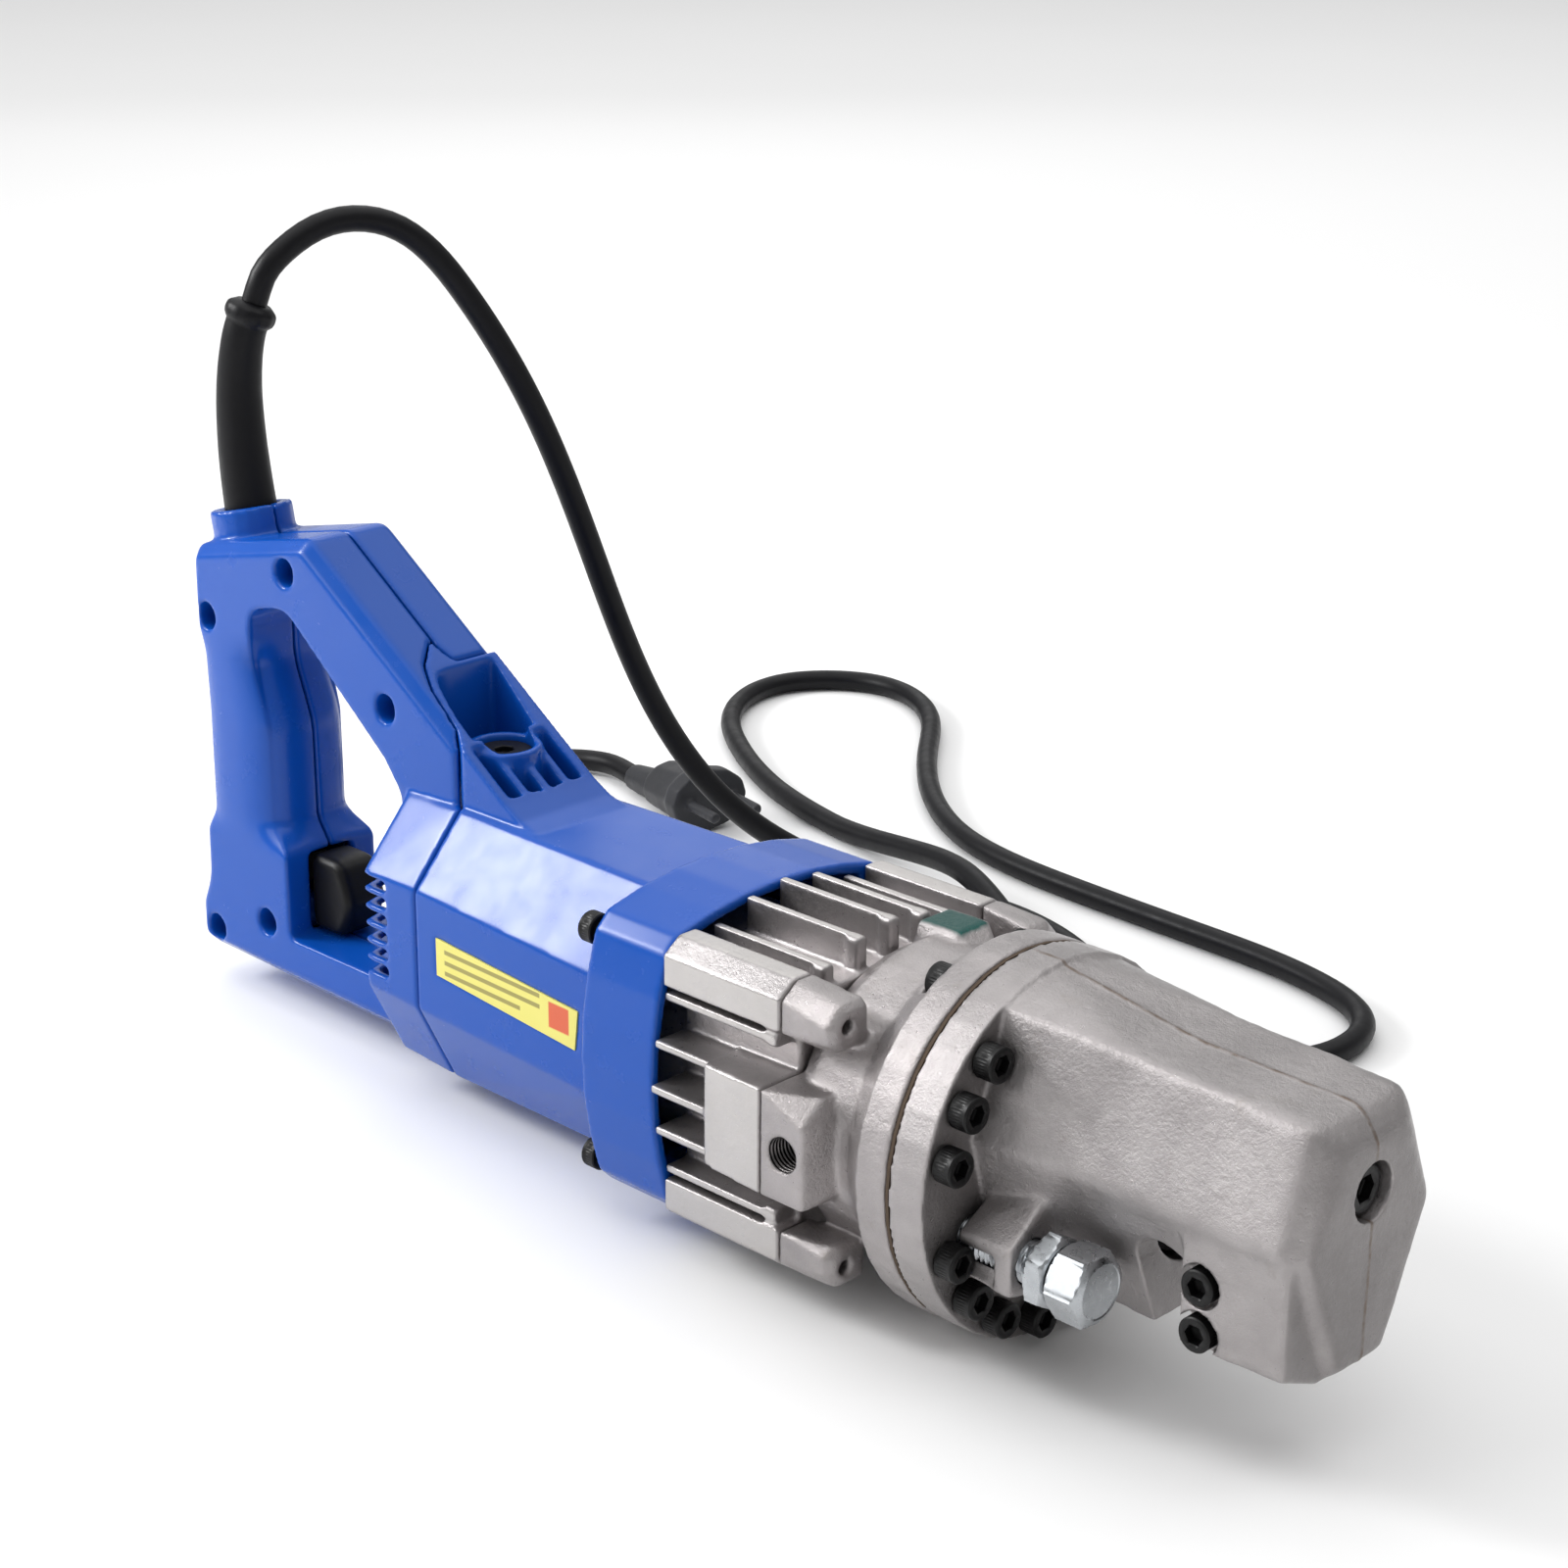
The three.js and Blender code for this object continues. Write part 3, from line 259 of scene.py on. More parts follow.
def cylinder_paint():
    p, base, sand, peel = cast_paint("cast_steel", (0.43, 0.4, 0.4), (0.32, 0.3, 0.3))
    # A dab of green inspection paint on the top of the cylinder's rear edge.
    edge = p.wander(0.006, 2, 0.002)
    place = p.node("VectorMath", operation="ADD", Vector=p.coordinates)
    p.set(place.node, 1, p.node("CombineXYZ", X=edge, Y=edge))
    low, high = at(-45, 8, 44), at(-30, 20, 60)
    dab = p.times(*(p.within("XYZ"[k], low[k], high[k], place=place) for k in range(3)))
    # The side pads' holes are threaded, and painted shade makes their insides dark.
    low, high = at(-42, 0, -6), at(-32, 0, 4)
    pad_face, pitch = 0.0536, 0.00125
    hole = p.times(
        p.within("X", low.x, high.x),
        p.within("Z", low.z, high.z),
        p.within("Y", -pad_face, pad_face, 0.0002),
    )
    thread = p.times(p.math("SINE", p.times(p.along("Y"), math.tau / pitch)), hole)
    # painted shade inside the threaded holes
    base = p.mix(p.times(hole, 0.75), base, (0.03, 0.027, 0.026))
    p.set(p.shader, "Base_Color", p.mix(dab, base, (0.004, 0.075, 0.065)))
    dents = p.noise(0.014, 2)
    p.bumps((sand, 0.00034, 0.8), (peel, 0.0004, 0.5), (dents, 0.0008, 0.15), (thread, 0.0004, 1.0))
    return p.material


def head_paint():
    p, base, sand, peel = cast_paint("cast_head", (0.42, 0.395, 0.395), (0.32, 0.3, 0.3), 0.82, 0.85)
    # The faces that look along X at the turned front of the flange and at the nose get painted shade, which
    # on the flange's front also stands for its darker turned metal, and the parting line is brown.
    flange_front, nose, top = at(14, 0, 0).x, at(100, 0, 0).x, at(0, 0, 33).z
    flange = p.within("X", flange_front - 0.1, flange_front)
    end = p.math("MAXIMUM", flange, p.within("X", nose, nose + 0.1, 0.003))
    # painted shade: the faces that look along X at the flange and at the nose are darkened
    dark = p.times(end, p.facing("X", 0.75, 0.98), 0.45)
    base = p.mix(dark, base, (0.1, 0.092, 0.09))
    side = p.math("ADD", p.along("Y"), p.wander(0.006, 3, 0.0012))
    near = p.spread(p.math("ABSOLUTE", side), 0.00025, 0.0009, 1, 0)
    high = p.math("MAXIMUM", p.within("Z", top, 1), p.within("X", nose, nose + 0.1))
    line = p.times(near, high, p.spread(p.noise(0.004, 3), 0.35, 0.6, 0.25, 0.85))
    base = p.mix(line, base, (0.13, 0.085, 0.055))
    p.set(p.shader, "Base_Color", base)
    p.bumps((sand, 0.00032, 0.8), (peel, 0.00036, 0.45), (p.noise(0.016, 2), 0.0008, 0.12))
    return p.material


def fin_paint():
    """The pump case: cast between the fins, milled on its outer edges."""
    p, base, sand, peel = cast_paint("cast_aluminium", (0.45, 0.425, 0.425), (0.33, 0.312, 0.312), 0.85)
    half_width, half_height = 0.0445, 0.0405
    outer_y = p.math("SUBTRACT", 1.0, p.within("Y", -half_width, half_width))
    outer_z = p.math("SUBTRACT", 1.0, p.within("Z", ORIGIN.z - half_height, ORIGIN.z + half_height))
    milled = p.math(
        "MAXIMUM",
        p.times(outer_y, p.facing("Y", 0.9, 0.98)),
        p.times(outer_z, p.facing("Z", 0.9, 0.98)),
    )
    lines = p.noise(0.002, 2, 0.5, stretch=(6, 0.4, 0.4))
    p.set(p.shader, "Base_Color", p.mix(p.times(milled, 0.6), base, (0.56, 0.54, 0.52)))
    quiet = p.times(sand, p.math("SUBTRACT", 1.0, p.times(milled, 0.85)))
    p.bumps((quiet, 0.00026, 0.65), (peel, 0.0005, 0.35), (lines, 0.00004, 0.12))
    return p.material


def plain_metal(name, light, dark, rough, metal=1.0, size=0.004, bump=0.15):
    p = Paint(name, Metallic=metal, Specular_IOR_Level=0.3)
    cloud = p.noise(size, 4, 0.6)
    p.set(p.shader, "Base_Color", p.mix(p.spread(cloud, 0.3, 0.7), light, dark))
    p.set(p.shader, "Roughness", p.spread(p.noise(size / 3, 3), 0.3, 0.7, rough - 0.07, rough + 0.08))
    p.bumps((p.noise(size / 8, 2), 0.00005, bump))
    return p.material


def soft_black(name, colour, rough, grain=0.0006, bump=0.25):
    p = Paint(name, IOR=1.4, Specular_IOR_Level=0.3)
    cloud = p.noise(0.02, 3)
    dark = tuple(c * 0.75 for c in colour)
    p.set(p.shader, "Base_Color", p.mix(cloud, colour, dark))
    p.set(p.shader, "Roughness", p.spread(p.noise(0.006, 4, 0.65), 0.3, 0.7, rough - 0.06, rough + 0.08))
    p.bumps((p.noise(grain, 3), 0.00008, bump), (p.noise(0.008, 2), 0.0003, 0.12))
    return p.material


def label_print():
    """A plain yellow plate with plain bars and a red block, without any lettering."""
    low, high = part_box("rating_label")
    p = Paint("label_yellow", Roughness=0.34)
    base = p.mix(p.noise(0.02, 2), (0.68, 0.62, 0.13), (0.74, 0.68, 0.17))
    margin, half_bar, half_block = 0.004, 0.0007, 0.004
    left, right = low.x + margin, high.x - margin
    for share, stop in ((0.78, 0.013), (0.56, 0.013), (0.34, 0.022)):
        z = low.z + (high.z - low.z) * share
        long = p.within("X", left, right - stop, 0.0002)
        bar = p.times(long, p.within("Z", z - half_bar, z + half_bar, 0.0001))
        base = p.mix(bar, base, (0.3, 0.26, 0.06))
    z = (low.z + high.z) / 2
    wide = p.within("X", right - 0.009, right, 0.0002)
    block = p.times(wide, p.within("Z", z - half_block, z + half_block, 0.0002))
    base = p.mix(block, base, (0.62, 0.1, 0.03))
    p.set(p.shader, "Base_Color", base)
    p.bumps((p.noise(0.004, 2), 0.0001, 0.1))
    return p.material


def banded(name, light, dark, width, metal, rough):
    """Stacked sheets or turns of wire across the motor's axis."""
    p = Paint(name, Metallic=metal, Roughness=rough)
    scale = 0.314 / width  # the wave texture's scale for bands of this width
    waves = p.node("TexWave", 1, Vector=p.coordinates, Scale=scale, Distortion=0.4, Detail=1.0)
    p.set(p.shader, "Base_Color", p.mix(p.spread(waves, 0.25, 0.6), dark, light))
    p.bumps((waves, 0.0002, 0.4))
    return p.material


paints = {
    "shell_blue": blue_plastic(),
    "cast_steel": cylinder_paint(),
    "cast_head": head_paint(),
    "cast_aluminium": fin_paint(),
    "black_steel": plain_metal("black_steel", (0.002, 0.002, 0.0024), (0.004, 0.0039, 0.004), 0.42, 0.0),
    "zinc": plain_metal("zinc", (0.5, 0.52, 0.54), (0.42, 0.44, 0.46), 0.3, 1.0, 0.005, 0.08),
    "steel": plain_metal("steel", (0.55, 0.55, 0.56), (0.42, 0.42, 0.44), 0.26),
    "laminations": banded("laminations", (0.34, 0.34, 0.35), (0.12, 0.12, 0.13), 0.001, 0.9, 0.4),
    "armature": banded("armature", (0.5, 0.22, 0.1), (0.16, 0.07, 0.04), 0.0012, 0.8, 0.35),
    "black_plastic": soft_black("black_plastic", (0.004, 0.004, 0.0045), 0.42),
    "carbon": soft_black("carbon", (0.03, 0.03, 0.032), 0.6),
    "gasket_fibre": soft_black("gasket_fibre", (0.085, 0.06, 0.042), 0.8, 0.0008, 0.4),
    "label_yellow": label_print(),
    "black_rubber": soft_black("black_rubber", (0.0035, 0.0035, 0.005), 0.42),
    "plug_grey": soft_black("plug_grey", (0.035, 0.036, 0.04), 0.45),
}


def slot_named(node):
    """The material slot of a CAD node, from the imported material's name."""
    return nodes[node].data.materials[0].name.split(".")[0]


# ---------- Building ----------
def finish_piece(name, mesh, node, body="tool", look=None, sharp=None):
    """Puts a mesh in place of a CAD node. Edges steeper than sharp degrees stay crisp."""
    obj = add_object(name, mesh)
    slot = slot_named(node)
    mesh.materials.clear()
    mesh.materials.append(paints[look or slot])
    mesh.polygons.foreach_set("use_smooth", [True] * len(mesh.polygons))
    if sharp:
        mesh.set_sharp_from_angle(angle=math.radians(sharp))
    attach(obj, body)
    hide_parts(node)
    return obj


def mesh_of(name, points, faces):
    mesh = bpy.data.meshes.new(name)
    mesh.from_pydata([tuple(p) for p in points], [], faces)
    mesh.update()
    return mesh


def walls(rings, closed=False):
    """The faces between each ring and the next, and between the last and the first if closed."""
    n = len(rings[0])
    faces = []
    for r in range(len(rings) if closed else len(rings) - 1):
        s = (r + 1) % len(rings)
        for i in range(n):
            j = (i + 1) % n
            faces.append((r * n + i, r * n + j, s * n + j, s * n + i))
    return faces


def solid_of(name, points, faces):
    """A closed mesh whose faces all look outwards."""
    mesh = mesh_of(name, points, faces)
    turned = bmesh.new()
    turned.from_mesh(mesh)
    bmesh.ops.recalc_face_normals(turned, faces=turned.faces)
    turned.to_mesh(mesh)
    turned.free()
    return mesh


def stack(name, rings, last=None):
    """A closed mesh from rings of equal length, with a point at each end: the middle, or last."""
    points = [p for ring in rings for p in ring]
    n = len(rings[0])
    faces = walls(rings)
    for ring, centre in ((0, None), (len(rings) - 1, last)):
        if centre is None:
            centre = sum((Vector(p) for p in rings[ring]), Vector()) / n
        points.append(centre)
        for i in range(n):
            a, b = ring * n + i, ring * n + (i + 1) % n
            faces.append((len(points) - 1, b, a) if ring == 0 else (len(points) - 1, a, b))
    return solid_of(name, points, faces)


def frame_of(way):
    """Two directions across way."""
    way = Vector(way).normalized()
    side = way.cross(Vector((0, 0, 1)) if abs(way.z) < 0.9 else Vector((0, 1, 0))).normalized()
    return side, way.cross(side)


def hexagon(across, angle):
    """Distance from the middle of a hexagon to its edge, in the direction of angle."""
    turn = math.radians((math.degrees(angle) % 60) - 30)
    return across / 2 / math.cos(turn)


LATTICE_SIDE = 32
lattice = np.random.default_rng(7).random((LATTICE_SIDE,) * 3)


def ripples(points, size):
    """Smooth noise from -1 to 1 at each point, with marks about size across."""
    p = points / size
    cell = np.floor(p).astype(int)
    f = p - cell
    f = f * f * (3 - 2 * f)
    total = np.zeros(len(points))
    for dx in (0, 1):
        for dy in (0, 1):
            for dz in (0, 1):
                i, j, k = ((cell + (dx, dy, dz)) % LATTICE_SIDE).T
                corner = lattice[i, j, k]
                weight = np.where(dx, f[:, 0], 1 - f[:, 0])
                weight = weight * np.where(dy, f[:, 1], 1 - f[:, 1])
                total += corner * weight * np.where(dz, f[:, 2], 1 - f[:, 2])
    return total * 2 - 1


def coordinates_of(mesh):
    flat = np.zeros(len(mesh.vertices) * 3)
    mesh.vertices.foreach_get("co", flat)
    return flat.reshape(-1, 3)


def soften(mesh, passes, weight=None, melt=False):
    """Rounds a dense mesh's edges where weight is 1, and not where it is 0.

    Each second pass pushes back, so that the form doesn't shrink. Melting leaves that out and so
    rounds large forms too. Returns the new coordinates.
    """
    edges = np.zeros(len(mesh.edges) * 2, np.int32)
    mesh.edges.foreach_get("vertices", edges)
    a, b = edges.reshape(-1, 2).T
    n = len(mesh.vertices)
    count = np.maximum(np.bincount(a, minlength=n) + np.bincount(b, minlength=n), 1)
    co = coordinates_of(mesh)
    share = np.ones(n) if weight is None else weight(co)
    for step in range(passes if melt else passes * 2):
        pull = 0.55 if melt or step % 2 == 0 else -0.5
        sums = [np.bincount(a, co[b, k], n) + np.bincount(b, co[a, k], n) for k in range(3)]
        mean = np.stack([total / count for total in sums], axis=1)
        co = co + (mean - co) * (pull * share)[:, None]
    return co


def remeshed(node, voxel):
    """A dense even mesh of a CAD node."""
    made = bmesh.new()
    made.from_mesh(nodes[node].data)
    bmesh.ops.remove_doubles(made, verts=made.verts, dist=1e-6)
    source = bpy.data.meshes.new(node + "_source")
    made.to_mesh(source)
    made.free()
    obj = add_object(node + "_source", source)
    remesh = obj.modifiers.new("remesh", "REMESH")
    remesh.mode = "VOXEL"
    remesh.voxel_size = voxel
    remesh.adaptivity = 0
    graph = bpy.context.evaluated_depsgraph_get()
    mesh = bpy.data.meshes.new_from_object(obj.evaluated_get(graph))
    bpy.data.objects.remove(obj)
    return mesh


def put_coordinates(mesh, co):
    mesh.vertices.foreach_set("co", co.ravel())
    mesh.update()


def cast_form(
    node,
    voxel,
    passes,
    rough=0.00006,
    waves=0.00006,
    weight=None,
    melt=None,
    shape=None,
    look=None,
    body="tool",
):
    """A casting or moulding: the CAD node's shape with rounded edges and a slightly uneven skin.

    voxel is the mesh size, passes and melt (passes, weight) the rounding, rough and waves the
    heights of the fine and the broad unevenness, and shape changes the coordinates beforehand.
    """
    mesh = remeshed(node, voxel)
    if shape:
        put_coordinates(mesh, shape(coordinates_of(mesh)))
    if melt:
        put_coordinates(mesh, soften(mesh, melt[0], melt[1], True))
    co = soften(mesh, passes, weight)
    put_coordinates(mesh, co)
    if rough or waves:
        normals = np.zeros(len(mesh.vertices) * 3)
        mesh.vertices.foreach_get("normal", normals)
        push = rough * ripples(co, 0.0021) + waves * ripples(co + 0.5, 0.009)
        if weight is not None:
            push = push * (0.3 + 0.7 * weight(co))
        normals = normals.reshape(-1, 3)
        push = push - rough
        if node == "cutter_head":
            push = push + parting_line(co, normals)
        co = co + normals * push[:, None]
        low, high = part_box(node)
        put_coordinates(mesh, np.clip(co, np.array(low), np.array(high)))
    return finish_piece(node + "_form", mesh, node, body, look)


def circle(middle, side, third, radius, sides):
    """A ring of points about middle, in the plane of the directions side and third."""
    turns = (i * math.tau / sides for i in range(sides))
    return [middle + side * radius * math.cos(a) + third * radius * math.sin(a) for a in turns]


def rod_mesh(name, line, radius, sides):
    """A closed round rod along a list of points."""
    rings = []
    for i, p in enumerate(line):
        way = line[min(i + 1, len(line) - 1)] - line[max(i - 1, 0)]
        rings.append(circle(p, *frame_of(way), radius, sides))
    return stack(name, rings)


# ---------- Cord, guard and plug ----------
def smooth_path(points, start_way, end_way, step):
    """Points a step apart on the smooth curve through the given ones, with given ways at its ends."""
    p = np.array(points)
    h = np.linalg.norm(np.diff(p, axis=0), axis=1)
    n = len(p)
    a, b = np.zeros((n, n)), np.zeros((n, 3))
    a[0, 0] = a[-1, -1] = 1
    b[0], b[-1] = start_way, end_way
    for i in range(1, n - 1):
        a[i, i - 1], a[i, i], a[i, i + 1] = h[i], 2 * (h[i - 1] + h[i]), h[i - 1]
        b[i] = 3 * (h[i] * (p[i] - p[i - 1]) / h[i - 1] + h[i - 1] * (p[i + 1] - p[i]) / h[i])
    slope = np.linalg.solve(a, b)
    line = []
    for i in range(n - 1):
        count = max(2, round(h[i] / step))
        for t in np.arange(count) / count:
            line.append(
                (2 * t**3 - 3 * t**2 + 1) * p[i]
                + (t**3 - 2 * t**2 + t) * h[i] * slope[i]
                + (3 * t**2 - 2 * t**3) * p[i + 1]
                + (t**3 - t**2) * h[i] * slope[i + 1]
            )
    line.append(p[-1])
    return np.array(line)


CORD_DIAMETER = 0.0085
FLOOR_Z = 0.00435  # middle of a cord that lies on the ground
GUARD_END = (-0.212, 0.005, 0.2305)
GUARD_WAY = (0.2046, 0.2813, 0.9375)
PLUG_ENTRY = (-0.261, 0.2145, 0.00595)
PLUG_WAY = (0.97815, -0.20791, 0)
CORD_ROUTE = [
    (-0.208, 0.0145, 0.2465),
    (-0.2025, 0.029, 0.2545),
    (-0.195, 0.047, 0.253),
    (-0.1845, 0.069, 0.2295),
    (-0.174, 0.09, 0.1875),
    (-0.1665, 0.108, 0.1365),
    (-0.159, 0.127, 0.0835),
    (-0.144, 0.157, 0.0355),
    (-0.117, 0.194, 0.0085),
    (-0.071, 0.211, FLOOR_Z),
    (-0.02, 0.2, FLOOR_Z),
    (0.017, 0.175, FLOOR_Z),
    (0.05, 0.162, FLOOR_Z),
    (0.083, 0.178, FLOOR_Z),
    (0.084, 0.218, FLOOR_Z),
    (0.051, 0.238, FLOOR_Z),
    (-0.001, 0.244, FLOOR_Z),
    (-0.061, 0.247, FLOOR_Z),
    (-0.119, 0.257, FLOOR_Z),
    (-0.165, 0.286, FLOOR_Z),
    (-0.206, 0.33, FLOOR_Z),
    (-0.24, 0.366, FLOOR_Z),
    (-0.279, 0.377, FLOOR_Z),
    (-0.308, 0.35, FLOOR_Z),
    (-0.299, 0.31, FLOOR_Z),
    (-0.261, 0.274, FLOOR_Z),
    (-0.215, 0.248, FLOOR_Z),
    (-0.161, 0.232, FLOOR_Z + 0.0003),
    (-0.11, 0.221, FLOOR_Z + 0.007),
    (-0.084, 0.212, FLOOR_Z + 0.0098),
    (-0.06, 0.201, FLOOR_Z + 0.0075),
    (-0.024, 0.182, FLOOR_Z),
    (0.002, 0.154, FLOOR_Z),
    (-0.002, 0.119, FLOOR_Z),
    (-0.037, 0.104, FLOOR_Z),
    (-0.111, 0.101, FLOOR_Z),
    (-0.211, 0.11, FLOOR_Z),
    (-0.289, 0.138, FLOOR_Z),
    (-0.317, 0.17, FLOOR_Z),
    (-0.304, 0.207, FLOOR_Z),
]


def cord():
    start = Vector(GUARD_END) + 0.0003 * Vector(GUARD_WAY)
    straight_out = Vector(GUARD_END) + 0.009 * Vector(GUARD_WAY)
    straight_in = Vector(PLUG_ENTRY) - 0.016 * Vector(PLUG_WAY)
    end = Vector(PLUG_ENTRY) - 0.0003 * Vector(PLUG_WAY)
    line = smooth_path([start, straight_out, *CORD_ROUTE, straight_in, end], GUARD_WAY, PLUG_WAY, 0.004)
    line[:, 2] = np.maximum(line[:, 2], FLOOR_Z)
    data = bpy.data.curves.new("cord_tube", "CURVE")
    data.dimensions = "3D"
    data.bevel_depth = CORD_DIAMETER / 2
    data.bevel_resolution = 7
    data.use_fill_caps = True
    data.twist_mode = "MINIMUM"
    spline = data.splines.new("POLY")
    spline.points.add(len(line) - 1)
    spline.points.foreach_set("co", np.column_stack([line, np.ones(len(line))]).ravel())
    spline.use_smooth = True
    obj = add_object("cord_tube", data)
    obj.data.materials.append(paints["black_rubber"])
    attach(obj, "tool")
    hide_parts("cord_run")
    return obj


cord_tube = cord()

GUARD_LINE = [  # the boot's middle, in millimetres on the tool's own axes
    (-328.33, 0, 95.68),
    (-330.13, 0, 103.76),
    (-331.77, 0, 111.88),
    (-333.09, 0, 120.05),
    (-334.13, 0, 128.27),
    (-334.84, 0.1, 136.52),
    (-335.23, 0.3, 144.79),
    (-335.04, 0.64, 153.06),
    (-334.13, 1.2, 161.28),
    (-332.77, 2.5, 169.31),
    (-331, 5, 177),
]
GUARD_SHAPE = [  # share of the boot's length, and radius in millimetres
    (0, 8.4), (0.02, 8.55), (0.2, 8.5), (0.35, 8.2), (0.5, 7.8), (0.65, 7.35), (0.8, 6.95), (0.9, 6.8),
    (0.918, 6.85), (0.926, 7.6), (0.935, 8.1), (0.948, 8.35), (0.962, 8.35), (0.975, 8.1), (0.984, 7.5),
    (0.99, 6.7), (0.995, 6.3), (1, 5.6),
]


def guard():
    """The moulded rubber boot: a smooth taper that ends in a rolled bead with a lip."""
    points = [at(*p) for p in GUARD_LINE]
    line = smooth_path(points, (points[1] - points[0]).normalized(), GUARD_WAY, 0.0007)
    steps = np.linspace(0, 1, len(line))
    radius = np.interp(steps, [s for s, _ in GUARD_SHAPE], [r / 1000 for _, r in GUARD_SHAPE])
    side = Vector((0, 1, 0))
    sides, grips = 48, 12
    rings = []
    for i, p in enumerate(line):
        way = Vector(line[min(i + 1, len(line) - 1)] - line[max(i - 1, 0)]).normalized()
        side = (side - way * side.dot(way)).normalized()
        third = way.cross(side)
        ring = []
        for k in range(sides):
            a = k * math.tau / sides
            r = radius[i]
            if 0.925 < steps[i] < 0.985:  # shallow grooves across the bead
                r -= 0.00022 * max(0, math.cos(a * grips)) ** 4
            ring.append(Vector(p) + side * r * math.cos(a) + third * r * math.sin(a))
        rings.append(ring)
    finish_piece("cord_boot", stack("cord_boot", rings, last=Vector(line[-1])), "cord_guard", sharp=50)


guard()
plug_form = cast_form("plug", 0.0006, 6, rough=0, waves=0, melt=(12, None))


# ---------- Castings and mouldings ----------
def flange_weight(co):
    """Machined flanges stay crisp, and the rest of the head is rounded more."""
    x = co[:, 0] - ORIGIN.x
    return np.clip((x - 0.0125) / 0.003, 0.12, 1)


def beyond(value, start, width):
    """0 below start, rising to 1 over width."""
    t = np.clip((value - start) / width, 0, 1)
    return t * t * (3 - 2 * t)


def tool_axes(co):
    """Millimetres on the tool's own axes."""
    return ((co - np.array(ORIGIN)) * 1000).T


def head_melt(co):
    """1 where the head's casting is well rounded, 0 at its flange, holes, mouth and screws."""
    x, y, z = tool_axes(co)
    keep = beyond(x, 13, 5)
    keep = keep * beyond(np.hypot(y, z), 23, 4) ** (x < 40)  # the ram's bore
    keep = keep * np.where(z < 8, 1 - beyond(x, 47, 4) * (1 - beyond(x, 80, 4)), 1)  # mouth
    keep = keep * np.where(x > 92, beyond(np.hypot(y, z - 22), 8.5, 3.5), 1)  # tip screw
    keep = keep * np.where(y < -18, beyond(np.hypot(x - 80.5, z + 10.5), 14, 5), 1)  # cutter screws
    keep = keep * np.where(x < 45, beyond(np.hypot(y + 33, z + 14), 8, 5), 1)  # bar stop
    soft = 0.3 + 0.7 * beyond(x, 82, 14) * beyond(z, 12, 14)
    return np.clip(keep, 0, 1) * soft


def parting_line(co, normals):
    """The seam of the sand mould, along the head's top and down its nose: a low uneven ridge."""
    x, y, z = tool_axes(co)
    wander = 0.25 * ripples(co, 0.011)
    height = 0.34 * np.exp(-(((y + wander) / 0.55) ** 2)) * (0.7 + 0.5 * ripples(co, 0.005))
    top = beyond(x, 17, 4) * (normals[:, 2] > 0.5) * (z > 33)
    nose = (x > 103) * (normals[:, 0] > 0.4) * (np.hypot(y, z - 22) > 11)
    return height / 1000 * np.maximum(top, nose)


def grip_shape(co):
    """Turns the square section of the handle's rear grip into a rounded one, which a hand closes around."""
    x, y, z = tool_axes(co)
    rear, half, power = -345.5, 18.5, 2.7
    front = np.interp(z, [3.5, 11, 44, 64], [-297, -302.3, -302.6, -309])
    share = beyond(z, 1, 10) * (1 - beyond(z, 62, 14))
    share = share * (x < front + 2) * (np.abs(y) < half + 0.3)
    across = np.clip((2 * x - rear - front) / (front - rear), -1, 1)
    side = np.clip(y / half, -1, 1)
    reach = np.maximum(np.abs(across), np.abs(side))
    bulge = (np.abs(across) ** power + np.abs(side) ** power) ** (1 / power)
    scale = 1 - share * (1 - reach / np.maximum(bulge, 1e-6))
    out = co.copy()
    middle = (rear + front) / 2
    out[:, 0] = ORIGIN.x + (middle + (x - middle) * scale) / 1000
    out[:, 1] = co[:, 1] * scale
    return out


cast_form("cutter_head", 0.00065, 8, weight=flange_weight, melt=(85, head_melt), look="cast_head")
cast_form("cylinder_body", 0.00065, 6, waves=0.00009, melt=(6, None))
cast_form("pump_case", 0.00062, 3, rough=0.00004, waves=0.00005, melt=(3, None))
for name in ("handle_shell_left", "handle_shell_right"):
    cast_form(name, 0.0007, 3, rough=0, waves=0, melt=(6, None), shape=grip_shape)
cast_form("motor_housing", 0.0007, 3, rough=0, waves=0, melt=(6, None))
cast_form("trigger", 0.0005, 6, rough=0, waves=0, melt=(14, None), body="trigger")
for name in ("brush_cap_top", "brush_cap_bottom"):
    cast_form(name, 0.00035, 3, rough=0, waves=0)


# ---------- Screws ----------
def socket_screw(node, way, r, h):
    """A hexagon socket cap screw where the CAD node is, its head of radius r and length h towards way."""
    low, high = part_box(node)
    axis = [abs(v) for v in way].index(1)
    sign = way[axis]
    middle = (low + high) / 2
    top = middle.copy()
    top[axis] = high[axis] if sign > 0 else low[axis]
    length = high[axis] - low[axis]
    side, third = frame_of(way)
    shank = r * 0.58
    socket = r * 1.04  # across flats
    sides, knurl_depth = 72, 0.00016
    profile = [
        (-(length - h), shank * 0.8, "round"),
        (-(length - h) + 0.0005, shank, "round"),
        (-0.00002, shank, "round"),
        (0, r - 0.0004, "round"),
        (0.0003, r, "round"),
        (0.0006, r, "knurl"),
        (h * 0.5, r, "knurl"),
        (h - 0.0013, r, "knurl"),
        (h - 0.0011, r, "round"),
        (h - 0.0005, r, "round"),
        (h - 0.00015, r - 0.00025, "round"),
        (h, r - 0.0006, "round"),
        (h, socket * 0.62, "round"),
        (h - 0.0003, socket, "hex"),
        (h - 0.0029, socket, "hex"),
        (h - 0.0032, socket * 0.92, "hex"),
    ]
    base = top - Vector(way) * h
    rings = []
    for along, radius, kind in profile:
        ring = []
        for i in range(sides):
            a = i * math.tau / sides
            q = radius
            if kind == "knurl" and i % 2:
                q = radius - knurl_depth
            if kind == "hex":
                q = hexagon(radius, a)
            ring.append(base + Vector(way) * along + side * q * math.cos(a) + third * q * math.sin(a))
        rings.append(ring)
    mesh = stack(node + "_bolt", rings, last=base + Vector(way) * (h - 0.0038))
    finish_piece(node + "_bolt", mesh, node, sharp=32)


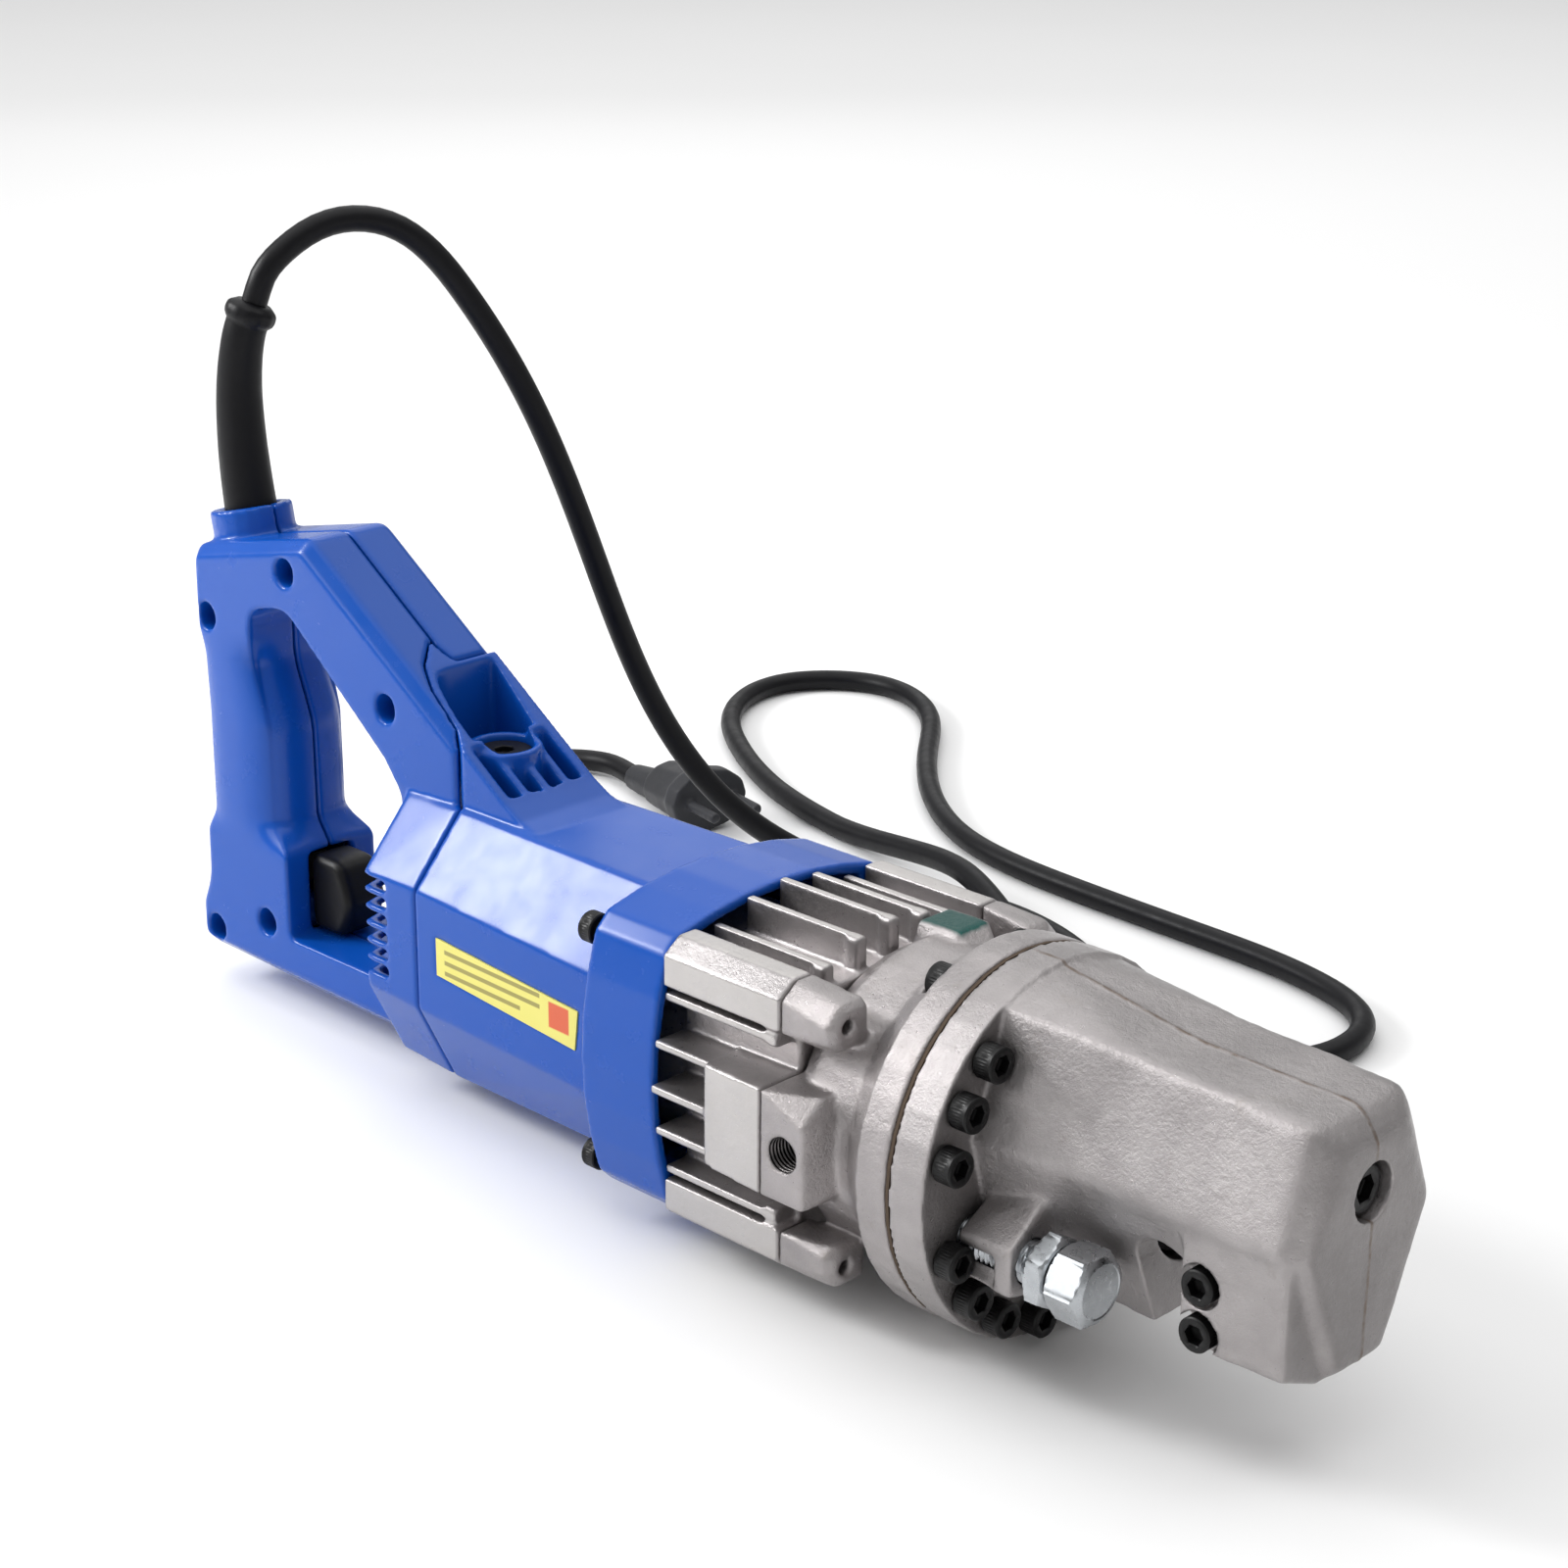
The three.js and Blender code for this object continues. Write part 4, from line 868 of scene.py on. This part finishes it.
FORWARD, REARWARD, LEFTWARD = (1, 0, 0), (-1, 0, 0), (0, -1, 0)
for i in range(1, 17):
    socket_screw(f"flange_screw_{i}", FORWARD if i < 15 else REARWARD, 0.005, 0.006)
socket_screw("head_tip_screw", FORWARD, 0.0065, 0.0062)
for i in (1, 2):
    socket_screw(f"fixed_cutter_screw_{i}", LEFTWARD, 0.0048, 0.0055)
for i in range(1, 5):
    socket_screw(f"housing_screw_{i}", REARWARD, 0.0046, 0.005)


def handle_screw(node):
    """A pan head screw with a cross recess, deep in its hole in the left shell."""
    low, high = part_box(node)
    x, z = (low.x + high.x) / 2, (low.z + high.z) / 2
    face, sides = low.y, 64
    profile = [  # place on the screw's axis, radius, and how much of a cross the ring is
        (high.y, 0.0014, 0),
        (high.y - 0.001, 0.0018, 0),
        (face + 0.0026, 0.0018, 0),
        (face + 0.00255, 0.0038, 0),
        (face + 0.0018, 0.004, 0),
        (face + 0.0009, 0.0037, 0),
        (face + 0.0003, 0.0029, 0),
        (face, 0.0021, 0.3),
        (face + 0.0003, 0.0019, 1),
        (face + 0.0015, 0.0011, 1),
    ]
    rings = []
    for y, r, cross in profile:
        ring = []
        for i in range(sides):
            a = i * math.tau / sides
            arm = abs(math.cos(2 * a)) ** 3
            q = r * (1 - cross * 0.62 * (1 - arm))
            ring.append(Vector((x + q * math.cos(a + 0.4), y, z + q * math.sin(a + 0.4))))
        rings.append(ring)
    finish_piece(node + "_bolt", stack(node + "_bolt", rings), node, sharp=35)


for i in range(1, 7):
    handle_screw(f"handle_screw_{i}")


# ---------- Bar stop ----------
STOP_ACROSS = 0.0184  # across the flats of the nut and of the bolt's head
STOP_CORNER = STOP_ACROSS / math.sqrt(3)
STOP_SIDES = 144


def stop_ring(x, radius_at):
    """A ring about the stop's axis, with a radius for each angle."""
    ring = []
    for i in range(STOP_SIDES):
        a = i * math.tau / STOP_SIDES
        q = radius_at(a)
        ring.append(Vector((x, STOP_AXIS.y + q * math.cos(a), STOP_AXIS.z + q * math.sin(a))))
    return ring


def hex_ring(x, corner_radius, turn):
    """A hexagon whose corners are cut off by a circle, as a chamfer does."""
    return stop_ring(x, lambda a: min(hexagon(STOP_ACROSS, a + turn), corner_radius))


def stop_bolt():
    low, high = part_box("stopper_bolt")
    radius, depth, pitch, slices = 0.006, 0.00085, 0.00175, 150
    head_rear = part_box("stopper_nut")[1].x + 0.0007

    def threaded(x):
        def radius_at(a):
            wave = abs(((x / pitch - a / math.tau) % 1) * 2 - 1)
            q = radius - depth * min(1, max(0, wave * 1.25 - 0.1))
            return min(q, 0.0048 + (x - low.x) * 1.2)

        return stop_ring(x, radius_at)

    rings = [threaded(low.x + (head_rear - low.x) * k / slices) for k in range(slices + 1)]
    for x, reach in ((0, 0.0086), (0.0004, 0.0093), (0.0008, 0.01), (0.0012, STOP_CORNER)):
        rings.append(hex_ring(head_rear + x, reach, 0))
    for x, reach in (
        (0.0018, STOP_CORNER), (0.00135, 0.0099), (0.0009, 0.00915), (0.00045, 0.0084), (0.0001, 0.0078),
        (0, 0.0075), (0.00025, 0.0071),
    ):
        rings.append(hex_ring(high.x - x, reach, 0))
    mesh = stack("stop_bolt", rings, last=Vector((high.x - 0.0002, STOP_AXIS.y, STOP_AXIS.z)))
    finish_piece("stop_bolt", mesh, "stopper_bolt", "stopper_screw", sharp=28)


def stop_nut():
    low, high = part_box("stopper_nut")
    hole, bevel, turn = 0.00635, 0.0008, math.radians(30)
    rear, front = low.x + 0.0016, high.x
    outside = [
        (rear, 0.0085), (rear + 0.0004, 0.0092), (rear + 0.0008, 0.0099), (rear + 0.0012, STOP_CORNER),
        (front - 0.0012, STOP_CORNER), (front - 0.0008, 0.0099), (front - 0.0004, 0.0092), (front, 0.0085),
    ]
    inside = [(front, hole + bevel), (front - 0.0007, hole), (rear + 0.0007, hole), (rear, hole + bevel)]
    rings = [hex_ring(x, reach, turn) for x, reach in outside]
    rings += [stop_ring(x, lambda a, r=r: r) for x, r in inside]
    mesh = solid_of("stop_nut", [p for ring in rings for p in ring], walls(rings, closed=True))
    finish_piece("stop_nut", mesh, "stopper_nut", "stopper_slider", sharp=28)


stop_bolt()
stop_nut()


# ---------- Return spring, which the ram presses against the head ----------
def return_spring():
    low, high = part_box("return_spring")
    wire, turns, per_turn, room = 0.0015, 4, 36, 0.0016
    reach = (high.y - low.y) / 2 - 0.0017
    line = []
    for i in range(turns * per_turn + 1):
        a = i / per_turn * math.tau
        x = low.x + room + (high.x - low.x - 2 * room) * i / (turns * per_turn)
        line.append(Vector((x, reach * math.cos(a), ORIGIN.z + reach * math.sin(a))))
    spring = finish_piece("spring_coil", rod_mesh("spring_coil", line, wire, 12), "return_spring")
    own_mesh(spring)


return_spring()


# ---------- The other CAD nodes keep their shape ----------
for name, obj in nodes.items():
    if not obj.hide_render:
        slot = slot_named(name)
        for k in range(len(obj.data.materials)):
            obj.data.materials[k] = paints[slot]


# ---------- Floor ----------
def add_floor():
    half, level = 20, -0.0002
    corners = [(x * half, y * half, level) for x, y in ((-1, -1), (1, -1), (1, 1), (-1, 1))]
    floor = add_object("floor", mesh_of("floor", corners, [(0, 1, 2, 3)]))
    p = Paint("floor", Roughness=0.9)
    p.set(p.shader, "Base_Color", p.mix(p.noise(0.5, 1), (0.86, 0.86, 0.86), (0.88, 0.88, 0.88)))
    floor.data.materials.append(p.material)


add_floor()
